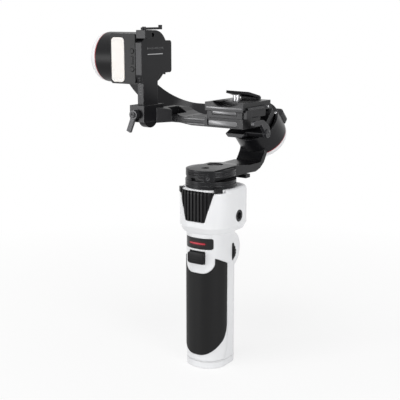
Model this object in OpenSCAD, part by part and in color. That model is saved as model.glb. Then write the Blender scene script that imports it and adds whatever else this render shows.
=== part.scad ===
// Three axis camera gimbal on a grip handle: pan motor on top of the handle, a sloped roll
// motor behind it, a tilt motor with a fill light at the left, and a quick release platform.
// The origin is the centre of the tripod thread in the flat base, +Z up, front towards -Y.

/* [Handle] */
// Width of the handle, left to right
handle_w = 38; // [36:0.5:42]
// Depth of the handle, front to back
handle_d = 44; // [42:0.5:48]
// Radius of the handle's four upright corners
handle_r = 17; // [15.5:0.5:17.5]
// Height of the handle under the motor housing
handle_h = 124; // [122:0.5:126]
// Thickness of the moulded walls
wall_t = 2.4; // [2:0.1:2.8]
// Height of the bottom cap
base_h = 6; // [5:0.5:8]
// Thickness of the rubber grip
grip_t = 1.6; // [1.2:0.1:1.8]
// How far the grip stands out of the shell
grip_proud = 0.5; // [0.3:0.1:0.8]
// Height of the grip's top edge at the sides
grip_side_top = 95; // [93:0.5:96]
// Height of the grip's top edge at the front
grip_front_top = 105; // [103:0.5:106]
// Height of the grip's bottom edge at the front
grip_front_low = 7; // [6.5:0.5:10]
// Height of the grip's bottom edge at the sides
grip_side_low = 23; // [20:0.5:26]

/* [Controls] */
// Width of the trigger
trigger_w = 15.5; // [15:0.5:18]
// Height of the trigger
trigger_h = 10.5; // [9.5:0.5:11]
// Height of the trigger's pivot pin
trigger_z = 105.5; // [105:0.5:106]
// Width of the scoop round the trigger
scoop_w = 31; // [29:0.5:32]
// Height of the scoop's lowest point
scoop_low = 88; // [86:0.5:90]
// Width of the status panel
status_w = 28; // [26:0.5:29]
// Height of the status panel
status_h = 9.6; // [9:0.2:10]
// Height of the status panel's middle
status_z = 115; // [114.5:0.5:115.5]
// Radius of the side wheel
wheel_r = 11; // [10.6:0.1:11.2]
// Thickness of the side wheel
wheel_t = 3; // [2.6:0.1:3.4]
// Height of the side wheel's axle
wheel_z = 104; // [103:0.5:105]
// How far the side wheel stands out of the shell
wheel_out = 2.2; // [2:0.1:2.6]
// Width of the control bulge at the back
bulge_w = 24; // [22:0.5:25]
// How far the control bulge stands out of the back
bulge_out = 8; // [7:0.5:8.5]
// Radius of the bulge in side view
bulge_r = 17; // [16.5:0.5:18]
// Stroke of the push buttons
button_stroke = 0.8; // [0.5:0.1:1]

/* [Motor housing] */
// Width of the housing
housing_w = 50; // [49:0.5:52]
// Depth of the housing
housing_d = 54; // [53:0.5:56]
// Radius of the housing's upright corners at the back
housing_r = 13; // [12:0.5:14]
// Radius of the housing's upright corners at the front
front_r = 19; // [17:0.5:20]
// Rounding of the housing's top edge
housing_round = 4; // [3:0.5:4.5]
// Height of the housing's top face
housing_top = 163; // [162:0.5:165]
// How far the housing's middle lies behind the pan axis
housing_back = 2; // [1.5:0.5:2.5]
// Height of the sloped underside
slope_h = 5.5; // [5:0.5:7]
// Depth of the sloped underside
slope_d = 3; // [2.5:0.5:4]
// Number of ribs on the front grille
rib_count = 10; // [7:1:11]
// Half width of the grille's top edge
grille_top_half = 17.5; // [16.5:0.5:19]
// Half width of the grille's bottom edge
grille_low_half = 9.5; // [8:0.5:12]
// Height of the grille's bottom edge
grille_low = 135; // [134:0.5:137]
// Height of the side thread's axis
side_thread_z = 137.5; // [136.5:0.5:138]
// Distance of the side thread behind the pan axis
side_thread_y = 7.5; // [5:0.5:9]

/* [Threads] */
// Radius of the quarter inch thread
thread_r = 3.175; // [3.1:0.025:3.25]
// Depth of the thread in the base
base_thread_l = 10; // [8:0.5:12]
// Depth of the thread in the side
side_thread_l = 8.5; // [7:0.5:9]
// Outside radius of the thread inserts
insert_r = 5.2; // [4.8:0.1:5.6]

/* [Motors] */
// Radius of the pan disc
pan_r = 22.5; // [22:0.25:23]
// Thickness of the pan disc
pan_t = 6.4; // [6:0.2:7]
// Radius of the roll and tilt motor cases
case_r = 23.3; // [23:0.1:23.6]
// Length of the roll motor case
roll_case_l = 22; // [20:0.5:23]
// Length of the tilt motor case
tilt_case_l = 47.8; // [46:0.2:49]
// Depth of the white end covers
cover_l = 8; // [7:0.5:9]
// Rounding of the white end covers
cover_round = 6.5; // [5:0.5:7]
// Radius of the motor shafts
shaft_r = 4; // [3.5:0.1:4.5]
// Running clearance of a shaft in its bearing
shaft_clear = 0.05; // [0.02:0.01:0.1]

/* [Roll axis] */
// Slope of the roll axis from the ground, degrees
roll_slope = 45; // [45:1:45]
// Distance of the roll motor's front behind the pan axis
roll_y = 71; // [70:0.5:72]
// Height of the roll motor's front
roll_z = 215; // [214:0.5:216]

/* [Pan arm] */
// Width of the pan arm
pan_arm_w = 29; // [27:0.5:30]
// Height of the pan arm over the pan disc
pan_arm_h = 9.5; // [9:0.5:10]
// Thickness of the arm where it bends up to the roll motor
bend_t = 5; // [4.5:0.1:5.5]
// Stroke of the pan arm each way
pan_stroke = 8; // [5:0.5:8]

/* [Roll arm] */
// Width of the roll arm
roll_arm_w = 17; // [16:0.5:17.5]
// Thickness of the roll arm in its bend
roll_arm_t = 12; // [11:0.5:13]
// Thickness of the roll arm in its guide
roll_tongue_t = 5.8; // [5.4:0.1:6]
// Radius of the roll arm's bend, inside
roll_bend_r = 40; // [39:0.5:41]
// Distance of the bend's centre left of the roll axis
roll_bend_x = 62; // [61:0.5:63]
// Stroke of the roll arm to the left
roll_stroke = 6; // [4:0.5:6]

/* [Tilt arm] */
// Distance of the tilt axis behind the pan axis
tilt_y = 15; // [14.5:0.5:15.5]
// Height of the tilt axis
tilt_z = 271; // [270.5:0.5:271.5]
// Distance of the tilt plate's right face left of the pan axis
plate_x = 68.5; // [68:0.25:69]
// Thickness of the tilt plate
plate_t = 6.5; // [6:0.25:7]
// Width of the tilt plate's stem
stem_w = 21.5; // [20:0.5:22]
// Stroke of the platform up the stem
platform_stroke = 7.5; // [5:0.5:7.5]

/* [Fill light] */
// Width of the fill light window
light_w = 14.5; // [13:0.5:15]
// Height of the fill light window
light_h = 40; // [38:0.5:41]
// Height of the boxy front of the tilt motor
nose_h = 45; // [44:0.5:46]
// Length of the boxy front along the tilt axis
nose_l = 28.7; // [28:0.1:30]

/* [Platform] */
// Thickness of the platform arm
bar_t = 7; // [6:0.5:7.5]
// Front edge of the platform arm behind the pan axis
bar_front = 20; // [19:0.5:21]
// Depth of the platform arm
bar_d = 30; // [28:0.5:30]
// Height of the platform arm's underside
bar_z = 211.5; // [211.5:0.25:212]
// Width of the quick release clamp and plate
qr_w = 40; // [38:0.5:41]
// Length of the quick release plate
qr_l = 48; // [44:0.5:48]
// Height of the quick release plate over its clamp
qr_h = 7.8; // [7:0.2:8]
// Length of the camera screw over the plate
screw_out = 5.5; // [4.5:0.5:6]

/* [Clearances] */
// Gap between pieces that stay together
seat = 0.2; // [0.15:0.05:0.3]
// Gap between pieces that move
gap = 0.3; // [0.3:0.05:0.4]
// Overrun of every cut
over = 1; // [0.5:0.5:2]

/* [Hidden] */
$fn = 96;
white = [0.88, 0.88, 0.89];
black = [0.06, 0.06, 0.065];
satin = [0.13, 0.13, 0.135];
rubber = [0.1, 0.1, 0.1];
metal = [0.62, 0.62, 0.64];

// Places worked out from the sizes above
handle_front = -handle_d / 2;
handle_side = handle_w / 2;
housing_front = housing_back - housing_d / 2;
housing_side = housing_w / 2;
cell_r = 9.2;
cell_l = 65;
board_t = 1.2;
board_w = 18;
board_h = 34;
board_y = handle_d / 2 - wall_t - 3;
pin_r = 1;
ear_t = 1.6;
ear_d = 5;
trigger_y = handle_front + 6;
trigger_out = 1.6;
trigger_round = 2.5;
wheel_x = handle_side + wheel_out - wheel_r;
wheel_y = 7.5;
wheel_bearing_t = 2;
axle_r = 1.5;
bulge_y = handle_d / 2 + bulge_out - bulge_r;
bulge_z = 103;
panel_w = 18;
panel_h = 25;
panel_t = 1.2;
stick_z = 110;
stick_r = 1.8;
stick_cap_r = 3.6;
stick_l = 4.6;
stick_well_r = 4.6;
small_button_r = 2.2;
large_button_r = 3.2;
button_out = 0.9;
button_l = 3.2;
record_z = 100.5;
power_z = 93.5;
pair_x = 4.6;
disc_z = housing_top + gap;
disc_top = disc_z + pan_t;
motor_hole_r = pan_r - 1.2;
motor_depth = 19;
stator_r = 15.5;
stator_bore_r = 9;
magnet_r = 18.5;
magnet_t = 2.4;
bearing_r = 8;
bearing_t = 5;
latch_turn = -42;
latch_w = 6.8;
latch_d = 4.4;
latch_h = 4.3;
latch_low = housing_top - 2;
guard_low = housing_top - 4.4;
guard_h = 4.6;
latch_out = pan_r + gap + 5;
guard_turn = -135;
guard_w = 5.4;
latch_stroke = 3;
rail_w = 12;
rail_h = 2.4;
arm_z = disc_top + gap;
arm_top = arm_z + pan_arm_h;
arm_len = 52.3;
arm_drop = 3;
arm_rise = 14.4;
cap_depth = 1.2;
pan_lever_y = 36.5;
pan_lever_r = 5;
pan_lever_t = 3.2;
pan_lever_l = 16;
roll_gap = 3;
roll_disc_r = 19;
roll_disc_t = roll_gap + 0.5 - gap;
lobe_w = 35;
lobe_d = 12.5;
lobe_round = 5;
lobe_l = 11;
lobe_m = 19.3;
tongue_a = 0.5 + seat;
tongue_top = tongue_a + roll_tongue_t;
guide_w = 4;
guide_l = 32;
lip_t = 1.6;
lip_w = 2.6;
sweep_r = 70.7;
foot_w = 19;
foot_low = 201;
foot_front = 38.6;
foot_cut = 2.4;
tongue_end = guide_l / 2 + 4 * over;
roll_bend_a = tongue_top + roll_bend_r;
roll_lever_y = 47;
roll_lever_z = 206;
roll_lever_r = 4;
roll_lever_x = 27.3;
roll_lever_l = 24;
roll_lever_t = 3;
roll_lever_w = 3.6;
roll_lever_rise = 13;
plate_left = -plate_x - plate_t;
case_right = plate_left - gap - 0.5;
case_left = case_right - tilt_case_l;
nose_d = 24;
nose_round = 3;
light_t = 2.2;
light_x = -95.5;
light_low = 1;
light_button_x = -79.2;
light_button_r = 2;
light_button_z = 8;
indicator_w = 2;
indicator_h = 6.5;
hub_r = 17.5;
hub_t = 2.6;
stem_front = -7;
head_front = -9.2;
head_back = 26.6;
head_low = 257;
head_high = 285.5;
crown_r = 18.3;
crown_y = 11;
crown_z = 278;
waist_r = 8;
block_d = 9.4;
block_low = 257.5;
block_high = 286.8;
block_round = 2.5;
sight_r = 2.1;
sight_y = 8.1;
sight_z = 292;
lock_w = 10;
lock_d = 10;
lock_h = 7.6;
lock_y = -8;
lock_top = 296.8;
lock_lever_l = 24;
lock_lever_w = 3.6;
lock_lever_t = 2;
clamp_left = -80;
clamp_right = -64;
clamp_front = -12.4;
clamp_back = 17.6;
clamp_low = 215;
stem_low = clamp_low + platform_stroke - 3 * over;
clamp_h = 15;
clamp_lip = 5;
bar_left = clamp_right;
bar_right = qr_w / 2;
pad_h = 8.5;
gusset_h = 8.5;
gusset_l = 22;
gusset_rise = 1.6;
lip_h = 2;
gusset_front = 7;
root_front = 6;
root_back = 34;
hub_x = -72.5;
hub_z = 222;
hub_lever_r = 4.2;
hub_l = 4.8;
lever_w = 4.4;
lever_l = 17;
lever_lean = 23;
qr_base_z = bar_z + pad_h;
qr_base_h = 5.8;
qr_base_w = 37;
qr_base_l = 41;
qr_slot_w = 26;
qr_slot_d = 3;
qr_z = qr_base_z + qr_base_h + gap;
qr_dip = 4;
qr_dip_l = 14;
qr_dip_r = 38;
qr_stroke = 18;
screw_y = 41;
screw_head_r = 6.5;
screw_head_t = 2.4;
shank_r = 2.5;
stop_w = 26.5;
stop_x = -1.2;
stop_l = 17;
stop_t = 2.4;
stop_lean = 15;
stop_turn = -8;
stop_y = 64;
stop_foot = 5;
qr_lever_y = 27;
qr_lever_l = 31;
qr_lever_t = 1.8;
qr_lever_h = 1.8;
qr_lever_x = qr_w / 2 + gap + qr_lever_t / 2;
qr_lever_z = qr_base_z + qr_base_h + 2.2;
qr_knob_r = 1.7;
qr_ear_l = 9;
qr_pin_r = 0.55;
qr_pin_l = 3.5;

// Children of rounded_block and its like stand on z = 0 unless said otherwise
module rounded_outline(w, d, r) {
    square([w, d - 2 * r], center = true);
    square([w - 2 * r, d], center = true);
    for (sx = [-1, 1], sy = [-1, 1])
        translate([sx * (w / 2 - r), sy * (d / 2 - r)]) circle(r);
}

module rounded_block(w, d, h, r) {
    linear_extrude(height = h) rounded_outline(w, d, r);
}

// A side view outline, drawn as y and z, made into a bar along x
module along_x(x0, l) {
    translate([x0, 0, 0]) rotate([90, 0, 90]) linear_extrude(height = l) children();
}

// A front view outline, drawn as x and z, made into a bar along y
module along_y(y0, l) {
    translate([0, y0 + l, 0]) rotate([90, 0, 0]) linear_extrude(height = l) children();
}

module rod_x(r, x0, l, y, z) {
    translate([x0, y, z]) rotate([0, 90, 0]) cylinder(r = r, h = l);
}

module rod_y(r, y0, l, x, z) {
    translate([x, y0, z]) rotate([-90, 0, 0]) cylinder(r = r, h = l);
}

module ring(r_out, r_in, h) {
    difference() {
        cylinder(r = r_out, h = h);
        translate([0, 0, -over]) cylinder(r = r_in, h = h + 2 * over);
    }
}

// A shallow cup with a rounded rim, closed side up
module dome(r, h, round_r) {
    rotate_extrude() {
        square([r - round_r, h]);
        square([r, h - round_r]);
        intersection() {
            translate([r - round_r, h - round_r]) circle(round_r);
            translate([0, h - round_r]) square([r, round_r]);
        }
    }
}

// The roll motor's own frame: x as outside, z along the roll axis, front face at zero
module roll_frame() {
    translate([0, roll_y, roll_z]) rotate([roll_slope, 0, 0]) children();
}

// The tilt motor's own frame: z runs along the tilt axis towards +X, zero at x0
module tilt_frame(x0) {
    translate([x0, tilt_y, tilt_z]) rotate([0, 90, 0]) children();
}

// The skin of the handle between two offsets from its face
module handle_skin(z0, z1, inside, outside) {
    difference() {
        translate([0, 0, z0])
            rounded_block(handle_w + 2 * outside, handle_d + 2 * outside, z1 - z0, handle_r + outside);
        translate([0, 0, z0 - over])
            rounded_block(
                handle_w - 2 * inside, handle_d - 2 * inside, z1 - z0 + 2 * over, handle_r - inside
            );
    }
}

grip_edge_y = -1;
grip_low_r = 30;

// What the grip covers, seen from the side and from the front, grown by a margin
module grip_region(margin) {
    difference() {
        along_x(-handle_w, 2 * handle_w) difference() {
            polygon([
                [handle_front - handle_r, grip_front_low - margin],
                [grip_edge_y + margin, grip_front_low - margin],
                [grip_edge_y + margin, grip_side_top + margin],
                [handle_front - grip_proud, grip_front_top + margin],
                [handle_front - handle_r, grip_front_top + margin]
            ]);
            difference() {
                translate([handle_front, grip_front_low - handle_r])
                    square([handle_d, grip_side_low - grip_front_low + handle_r - margin]);
                translate([grip_edge_y - grip_low_r + margin, grip_side_low + over])
                    circle(grip_low_r);
            }
        }
        along_y(handle_front - handle_r, handle_d) scoop_outline(-margin);
    }
}

module scoop_outline(margin) {
    half = scoop_w / 2 + margin;
    bottom = scoop_low - margin;
    round_r = scoop_w / 3;
    translate([-half, bottom + round_r]) square([2 * half, handle_h - bottom - round_r]);
    translate([-half + round_r, bottom]) square([2 * (half - round_r), handle_h - bottom]);
    for (s = [-1, 1]) translate([s * (half - round_r), bottom + round_r]) circle(round_r);
}

module status_region(margin) {
    along_y(handle_front - handle_r, handle_d / 2 + handle_r)
        translate([0, status_z])
            rounded_outline(status_w + 2 * margin, status_h + 2 * margin, status_h / 5);
}

module bulge_outline(margin) {
    translate([bulge_y, bulge_z]) circle(bulge_r + margin);
}

module panel_region(margin) {
    along_y(handle_d / 4, handle_d)
        translate([0, bulge_z])
            rounded_outline(panel_w + 2 * margin, panel_h + 2 * margin, panel_w / 5);
}

button_y = bulge_y + bulge_r;
function bulge_skin(z) = bulge_y + sqrt(bulge_r * bulge_r - (z - bulge_z) * (z - bulge_z));

// Bodies fixed to the handle
module handle_shell() color(white) {
    difference() {
        union() {
            translate([0, 0, base_h]) rounded_block(handle_w, handle_d, handle_h - base_h, handle_r);
            intersection() {
                along_x(-bulge_w / 2, bulge_w) bulge_outline(0);
                translate([0, handle_d / 2, base_h])
                    rounded_block(bulge_w, handle_d, handle_h - base_h, wall_t);
            }
        }
        difference() {
            translate([0, 0, base_h - over])
                rounded_block(
                    handle_w - 2 * wall_t, handle_d - 2 * wall_t,
                    handle_h - base_h - wall_t + over, handle_r - wall_t
                );
            for (s = [-1, 1])
                translate([s * (trigger_w / 2 + gap + ear_t / 2), trigger_y, trigger_z])
                    cube([ear_t, ear_d, ear_d], center = true);
            for (s = [-1, 1])
                translate([wheel_x - axle_r - wall_t, wheel_y + s * bearing_shift() - wheel_bearing_t / 2,
                    wheel_z - axle_r - wall_t])
                    cube([handle_side, wheel_bearing_t, 2 * (axle_r + wall_t)]);
            for (s = [-1, 1])
                rod_y(axle_r, board_y + board_t + seat, handle_d / 2, s * board_w / 4, bulge_z - s * board_h / 4);
        }
        intersection() {
            handle_skin(base_h, handle_h, grip_t - grip_proud + seat, over);
            grip_region(seat);
        }
        intersection() {
            handle_skin(base_h, handle_h, panel_t + seat, over);
            status_region(seat);
        }
        translate([0, handle_front, trigger_z + trigger_over() - trigger_h / 2])
            cube([trigger_w + 2 * gap, 2 * trigger_depth(), trigger_h + 4 * gap], center = true);
        rod_x(pin_r + seat / 2, -pin_half() - seat, 2 * pin_half() + 2 * seat, trigger_y, trigger_z);
        rod_y(wheel_r + 2 * gap, wheel_y - wheel_t / 2 - gap, wheel_t + 2 * gap, wheel_x, wheel_z);
        rod_y(axle_r + shaft_clear, 0, handle_d / 2 - wall_t, wheel_x, wheel_z);
        intersection() {
            along_x(-panel_w, 2 * panel_w) difference() {
                bulge_outline(over);
                bulge_outline(-panel_t - seat);
            }
            panel_region(seat);
        }
        rod_y(stick_well_r, handle_d / 2 - wall_t, handle_d, 0, stick_z);
        rod_y(large_button_r + gap, handle_d / 2 - wall_t, handle_d, 0, record_z);
        for (s = [-1, 1])
            rod_y(small_button_r + gap, handle_d / 2 - wall_t, handle_d, s * pair_x, power_z);
    }
}

function bearing_shift() = wheel_t / 2 + 2 * gap + wheel_bearing_t / 2;
function trigger_over() = pin_r + wall_t / 2;
function pin_half() = trigger_w / 2 + gap + ear_t;
function trigger_depth() = trigger_y - handle_front + ear_d / 2;

module grip() color(rubber) {
    intersection() {
        handle_skin(base_h, handle_h, grip_t - grip_proud, grip_proud);
        grip_region(0);
    }
}

module base_cap() color(white) {
    difference() {
        rounded_block(handle_w, handle_d, base_h - seat, handle_r);
        translate([0, 0, -over]) cylinder(r = insert_r + seat, h = base_h + 2 * over);
    }
}

module tripod_insert() color(metal) {
    ring(insert_r, thread_r, base_thread_l);
}

module battery_cell() color("steelblue") {
    translate([0, 0, base_thread_l + seat]) cylinder(r = cell_r, h = cell_l);
}

module main_board() color("darkgreen") {
    translate([-board_w / 2, board_y, bulge_z - board_h / 2]) cube([board_w, board_t, board_h]);
}

module rear_panel() color(satin) {
    difference() {
        intersection() {
            along_x(-panel_w, 2 * panel_w) difference() {
                bulge_outline(0);
                bulge_outline(-panel_t);
            }
            panel_region(0);
        }
        rod_y(stick_well_r, 0, handle_d, 0, stick_z);
        rod_y(large_button_r + gap, 0, handle_d, 0, record_z);
        for (s = [-1, 1])
            rod_y(small_button_r + gap, 0, handle_d, s * pair_x, power_z);
    }
}

module status_panel() color(satin) {
    difference() {
        intersection() {
            handle_skin(base_h, handle_h, panel_t, 0);
            status_region(0);
        }
        light_region(seat / 2);
    }
}

light_strip_w = 16;
light_strip_h = 1.3;

module light_region(margin) {
    intersection() {
        handle_skin(base_h, handle_h, panel_t / 2 + margin, margin);
        along_y(handle_front - handle_r, handle_r + handle_r)
            translate([0, status_z])
                square([light_strip_w + 2 * margin, light_strip_h + 2 * margin], center = true);
    }
}

module status_light() color([0.55, 0.08, 0.14]) {
    light_region(0);
}

module trigger() color(satin) {
    difference() {
        along_x(-trigger_w / 2, trigger_w) union() {
            translate([trigger_y, trigger_z]) circle(trigger_over());
            polygon([
                [trigger_y, trigger_z + trigger_over()],
                [handle_front - trigger_out + trigger_round, trigger_z + trigger_over()],
                [handle_front - trigger_out, trigger_z + trigger_over() - trigger_round],
                [handle_front - trigger_out, trigger_z + trigger_over() - trigger_h + trigger_round],
                [handle_front - trigger_out + trigger_round, trigger_z + trigger_over() - trigger_h],
                [trigger_y - trigger_over(), trigger_z + trigger_over() - trigger_h]
            ]);
        }
        rod_x(pin_r + shaft_clear, -trigger_w, 2 * trigger_w, trigger_y, trigger_z);
    }
}

module trigger_pin() color(metal) {
    rod_x(pin_r, -pin_half(), 2 * pin_half(), trigger_y, trigger_z);
}

module control_wheel() color(satin) {
    notch_r = wheel_t / 6;
    difference() {
        rod_y(wheel_r, wheel_y - wheel_t / 2, wheel_t, wheel_x, wheel_z);
        rod_y(axle_r + shaft_clear, 0, handle_d, wheel_x, wheel_z);
        for (i = [0 : 23])
            translate([wheel_x, 0, wheel_z]) rotate([0, i * 15, 0])
                rod_y(notch_r, 0, handle_d, wheel_r, 0);
    }
}

module wheel_axle() color(metal) {
    l = 2 * bearing_shift() + wheel_bearing_t;
    rod_y(axle_r, wheel_y - l / 2, l, wheel_x, wheel_z);
}

module joystick() color(satin) {
    ball_y = board_y + board_t + stick_r + seat;
    translate([0, ball_y, stick_z]) sphere(stick_r);
    rod_y(stick_r * 0.8, ball_y, button_y + stick_l - wall_t - ball_y, 0, stick_z);
    rod_y(stick_cap_r, button_y + stick_l - wall_t - over, over + seat, 0, stick_z);
}

module record_button() color([0.6, 0.1, 0.12]) {
    rod_y(large_button_r, button_y + button_out - button_l, button_l, 0, record_z);
}

module power_button() color(satin) {
    rod_y(small_button_r, bulge_skin(power_z) - button_l / 2, button_l / 2 + button_out, -pair_x, power_z);
}

module mode_button() color(satin) {
    rod_y(small_button_r, bulge_skin(power_z) - button_l / 2, button_l / 2 + button_out, pair_x, power_z);
}

// Plan of the housing, its corners rounder at the front than at the back
module housing_outline(margin) {
    half = housing_side + margin;
    front = housing_front - margin;
    back = housing_front + housing_d + margin;
    rf = front_r + margin;
    rb = housing_r + margin;
    translate([-half + rf, front]) square([2 * (half - rf), back - front]);
    translate([-half, front + rf]) square([2 * half, back - front - rf - rb]);
    translate([-half + rb, front + rf]) square([2 * (half - rb), back - front - rf]);
    for (s = [-1, 1]) {
        translate([s * (half - rf), front + rf]) circle(rf);
        translate([s * (half - rb), back - rb]) circle(rb);
    }
}

module housing_column(margin) {
    translate([0, 0, handle_h]) linear_extrude(height = housing_top - handle_h + over) housing_outline(margin);
}

// Side view of the housing from a centre line out to a face: sloped below, rounded above
module housing_profile(reach, margin) {
    r = housing_round + margin;
    polygon([
        [0, handle_h], [reach - slope_d, handle_h], [reach, handle_h + slope_h],
        [reach, housing_top - housing_round], [0, housing_top - housing_round]
    ]);
    translate([0, handle_h + slope_h]) square([reach - r, housing_top - handle_h - slope_h + margin]);
    translate([reach - r, housing_top - housing_round]) intersection() {
        circle(r);
        square([r, r]);
    }
}

// The whole housing block, grown by a margin
module housing_block(margin) {
    half = housing_side + margin;
    front = housing_front - margin;
    back = housing_front + housing_d + margin;
    rf = front_r + margin;
    rb = housing_r + margin;
    for (s = [-1, 1]) {
        translate([s * (half - rf), front + rf, 0]) rotate_extrude() housing_profile(rf, margin);
        translate([s * (half - rb), back - rb, 0]) rotate_extrude() housing_profile(rb, margin);
    }
    translate([-half + rf, front + rf, 0]) rotate([90, 0, 90]) linear_extrude(height = 2 * (half - rf))
        mirror([1, 0]) housing_profile(rf, margin);
    translate([-half + rb, back - rb, 0]) rotate([90, 0, 90]) linear_extrude(height = 2 * (half - rb))
        housing_profile(rb, margin);
    translate([0, back - rb, 0]) rotate([90, 0, 0]) linear_extrude(height = back - front - rf - rb) {
        housing_profile(half, margin);
        mirror([1, 0]) housing_profile(half, margin);
    }
    translate([0, front + rf, handle_h]) linear_extrude(height = housing_top - handle_h + margin)
        polygon([
            [-half + rf, -over], [half - rf, -over], [half - rb, 0], [half - rb, over],
            [-half + rb, over], [-half + rb, 0]
        ]);
}

module grille_region(margin) {
    top = housing_top - seat - wall_t / 2 + margin;
    along_y(housing_front - over, housing_r + over)
        polygon([
            [-grille_low_half - margin, grille_low - margin],
            [grille_low_half + margin, grille_low - margin],
            [grille_top_half + margin, top],
            [-grille_top_half - margin, top]
        ]);
}

module upper_housing() color(white) {
    difference() {
        housing_block(0);
        difference() {
            intersection() {
                housing_block(over);
                grille_region(seat);
            }
            housing_column(-grille_t - seat);
        }
        guard_tab(seat);
        translate([0, 0, housing_top - motor_depth]) cylinder(r = motor_hole_r, h = motor_depth + over);
        translate([0, 0, housing_top - motor_depth - bearing_t - gap])
            cylinder(r = bearing_r + seat, h = motor_depth);
        rod_x(
            insert_r + seat, housing_side - side_thread_l - seat, side_thread_l + housing_side,
            side_thread_y, side_thread_z
        );
        latch_pocket();
    }
}

module latch_pocket() {
    rotate([0, 0, latch_turn])
        translate([latch_out - latch_d - gap, -latch_w / 2 - gap, latch_low - gap])
            cube([housing_d, latch_w + latch_stroke + 2 * gap, latch_h + housing_round]);
}

// The small guard at the left, like the latch's own tab
module guard_tab(margin) {
    rotate([0, 0, guard_turn])
        translate([latch_out - latch_d - margin, -guard_w / 2 - margin, guard_low - margin])
            cube([latch_d + 2 * margin, guard_w + 2 * margin, guard_h + 2 * margin]);
}

grille_t = 2;
grille_back_t = 1;

module front_grille() color(satin) {
    pitch = 2 * grille_top_half / rib_count;
    rib_t = pitch * 0.55;
    intersection() {
        difference() {
            union() {
                intersection() {
                    housing_block(-grille_t + grille_back_t);
                    housing_column(0);
                }
                for (i = [0 : rib_count])
                    intersection() {
                        housing_block(grip_proud);
                        translate([-grille_top_half + i * pitch - rib_t / 2, housing_front - over, handle_h])
                            cube([rib_t, housing_d, housing_top - handle_h]);
                    }
            }
            housing_column(-grille_t);
            latch_pocket();
        }
        grille_region(0);
    }
    guard_tab(0);
}

module side_insert() color(metal) {
    translate([housing_side, side_thread_y, side_thread_z]) rotate([0, -90, 0])
        ring(insert_r, thread_r, side_thread_l);
}

module pan_lock_latch() color(satin) {
    grip_pitch = latch_w / 5;
    rotate([0, 0, latch_turn]) difference() {
        translate([latch_out - latch_d, -latch_w / 2, latch_low]) cube([latch_d, latch_w, latch_h]);
        for (i = [1 : 4])
            translate([latch_out, -latch_w / 2 + i * grip_pitch, latch_low - over])
                cylinder(r = grip_pitch / 4, h = latch_h + 2 * over);
    }
}

module pan_stator() color("peru") {
    translate([0, 0, housing_top - motor_depth]) ring(stator_r, stator_bore_r, motor_depth - wall_t - seat);
}

module pan_bearing() color(metal) {
    translate([0, 0, housing_top - motor_depth - bearing_t]) ring(bearing_r, shaft_r + shaft_clear, bearing_t);
}

// Bodies that turn with the pan motor
module pan_rotor() color(satin) {
    groove = pan_t / 8;
    difference() {
        union() {
            translate([0, 0, disc_z]) cylinder(r = pan_r, h = pan_t);
            translate([0, 0, housing_top - motor_depth - bearing_t])
                cylinder(r = shaft_r, h = motor_depth + bearing_t + gap);
            translate([-rail_w / 2, -pan_r * 0.8, disc_z + pan_t - over])
                cube([rail_w, pan_r * 1.6, rail_h + over]);
        }
        translate([0, 0, disc_z + pan_t * 0.45]) ring(pan_r + over, pan_r - groove, groove * 1.4);
    }
}

module pan_magnet_ring() color("gray") {
    translate([0, 0, housing_top - motor_depth + wall_t]) ring(magnet_r, magnet_r - magnet_t, motor_depth - wall_t + gap);
}

bend_y = arm_len;
case_back = -roll_gap - roll_case_l;
function roll_point(m, a) = [
    roll_y + m * cos(roll_slope) - a * sin(roll_slope), roll_z + m * sin(roll_slope) + a * cos(roll_slope)
];

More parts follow.
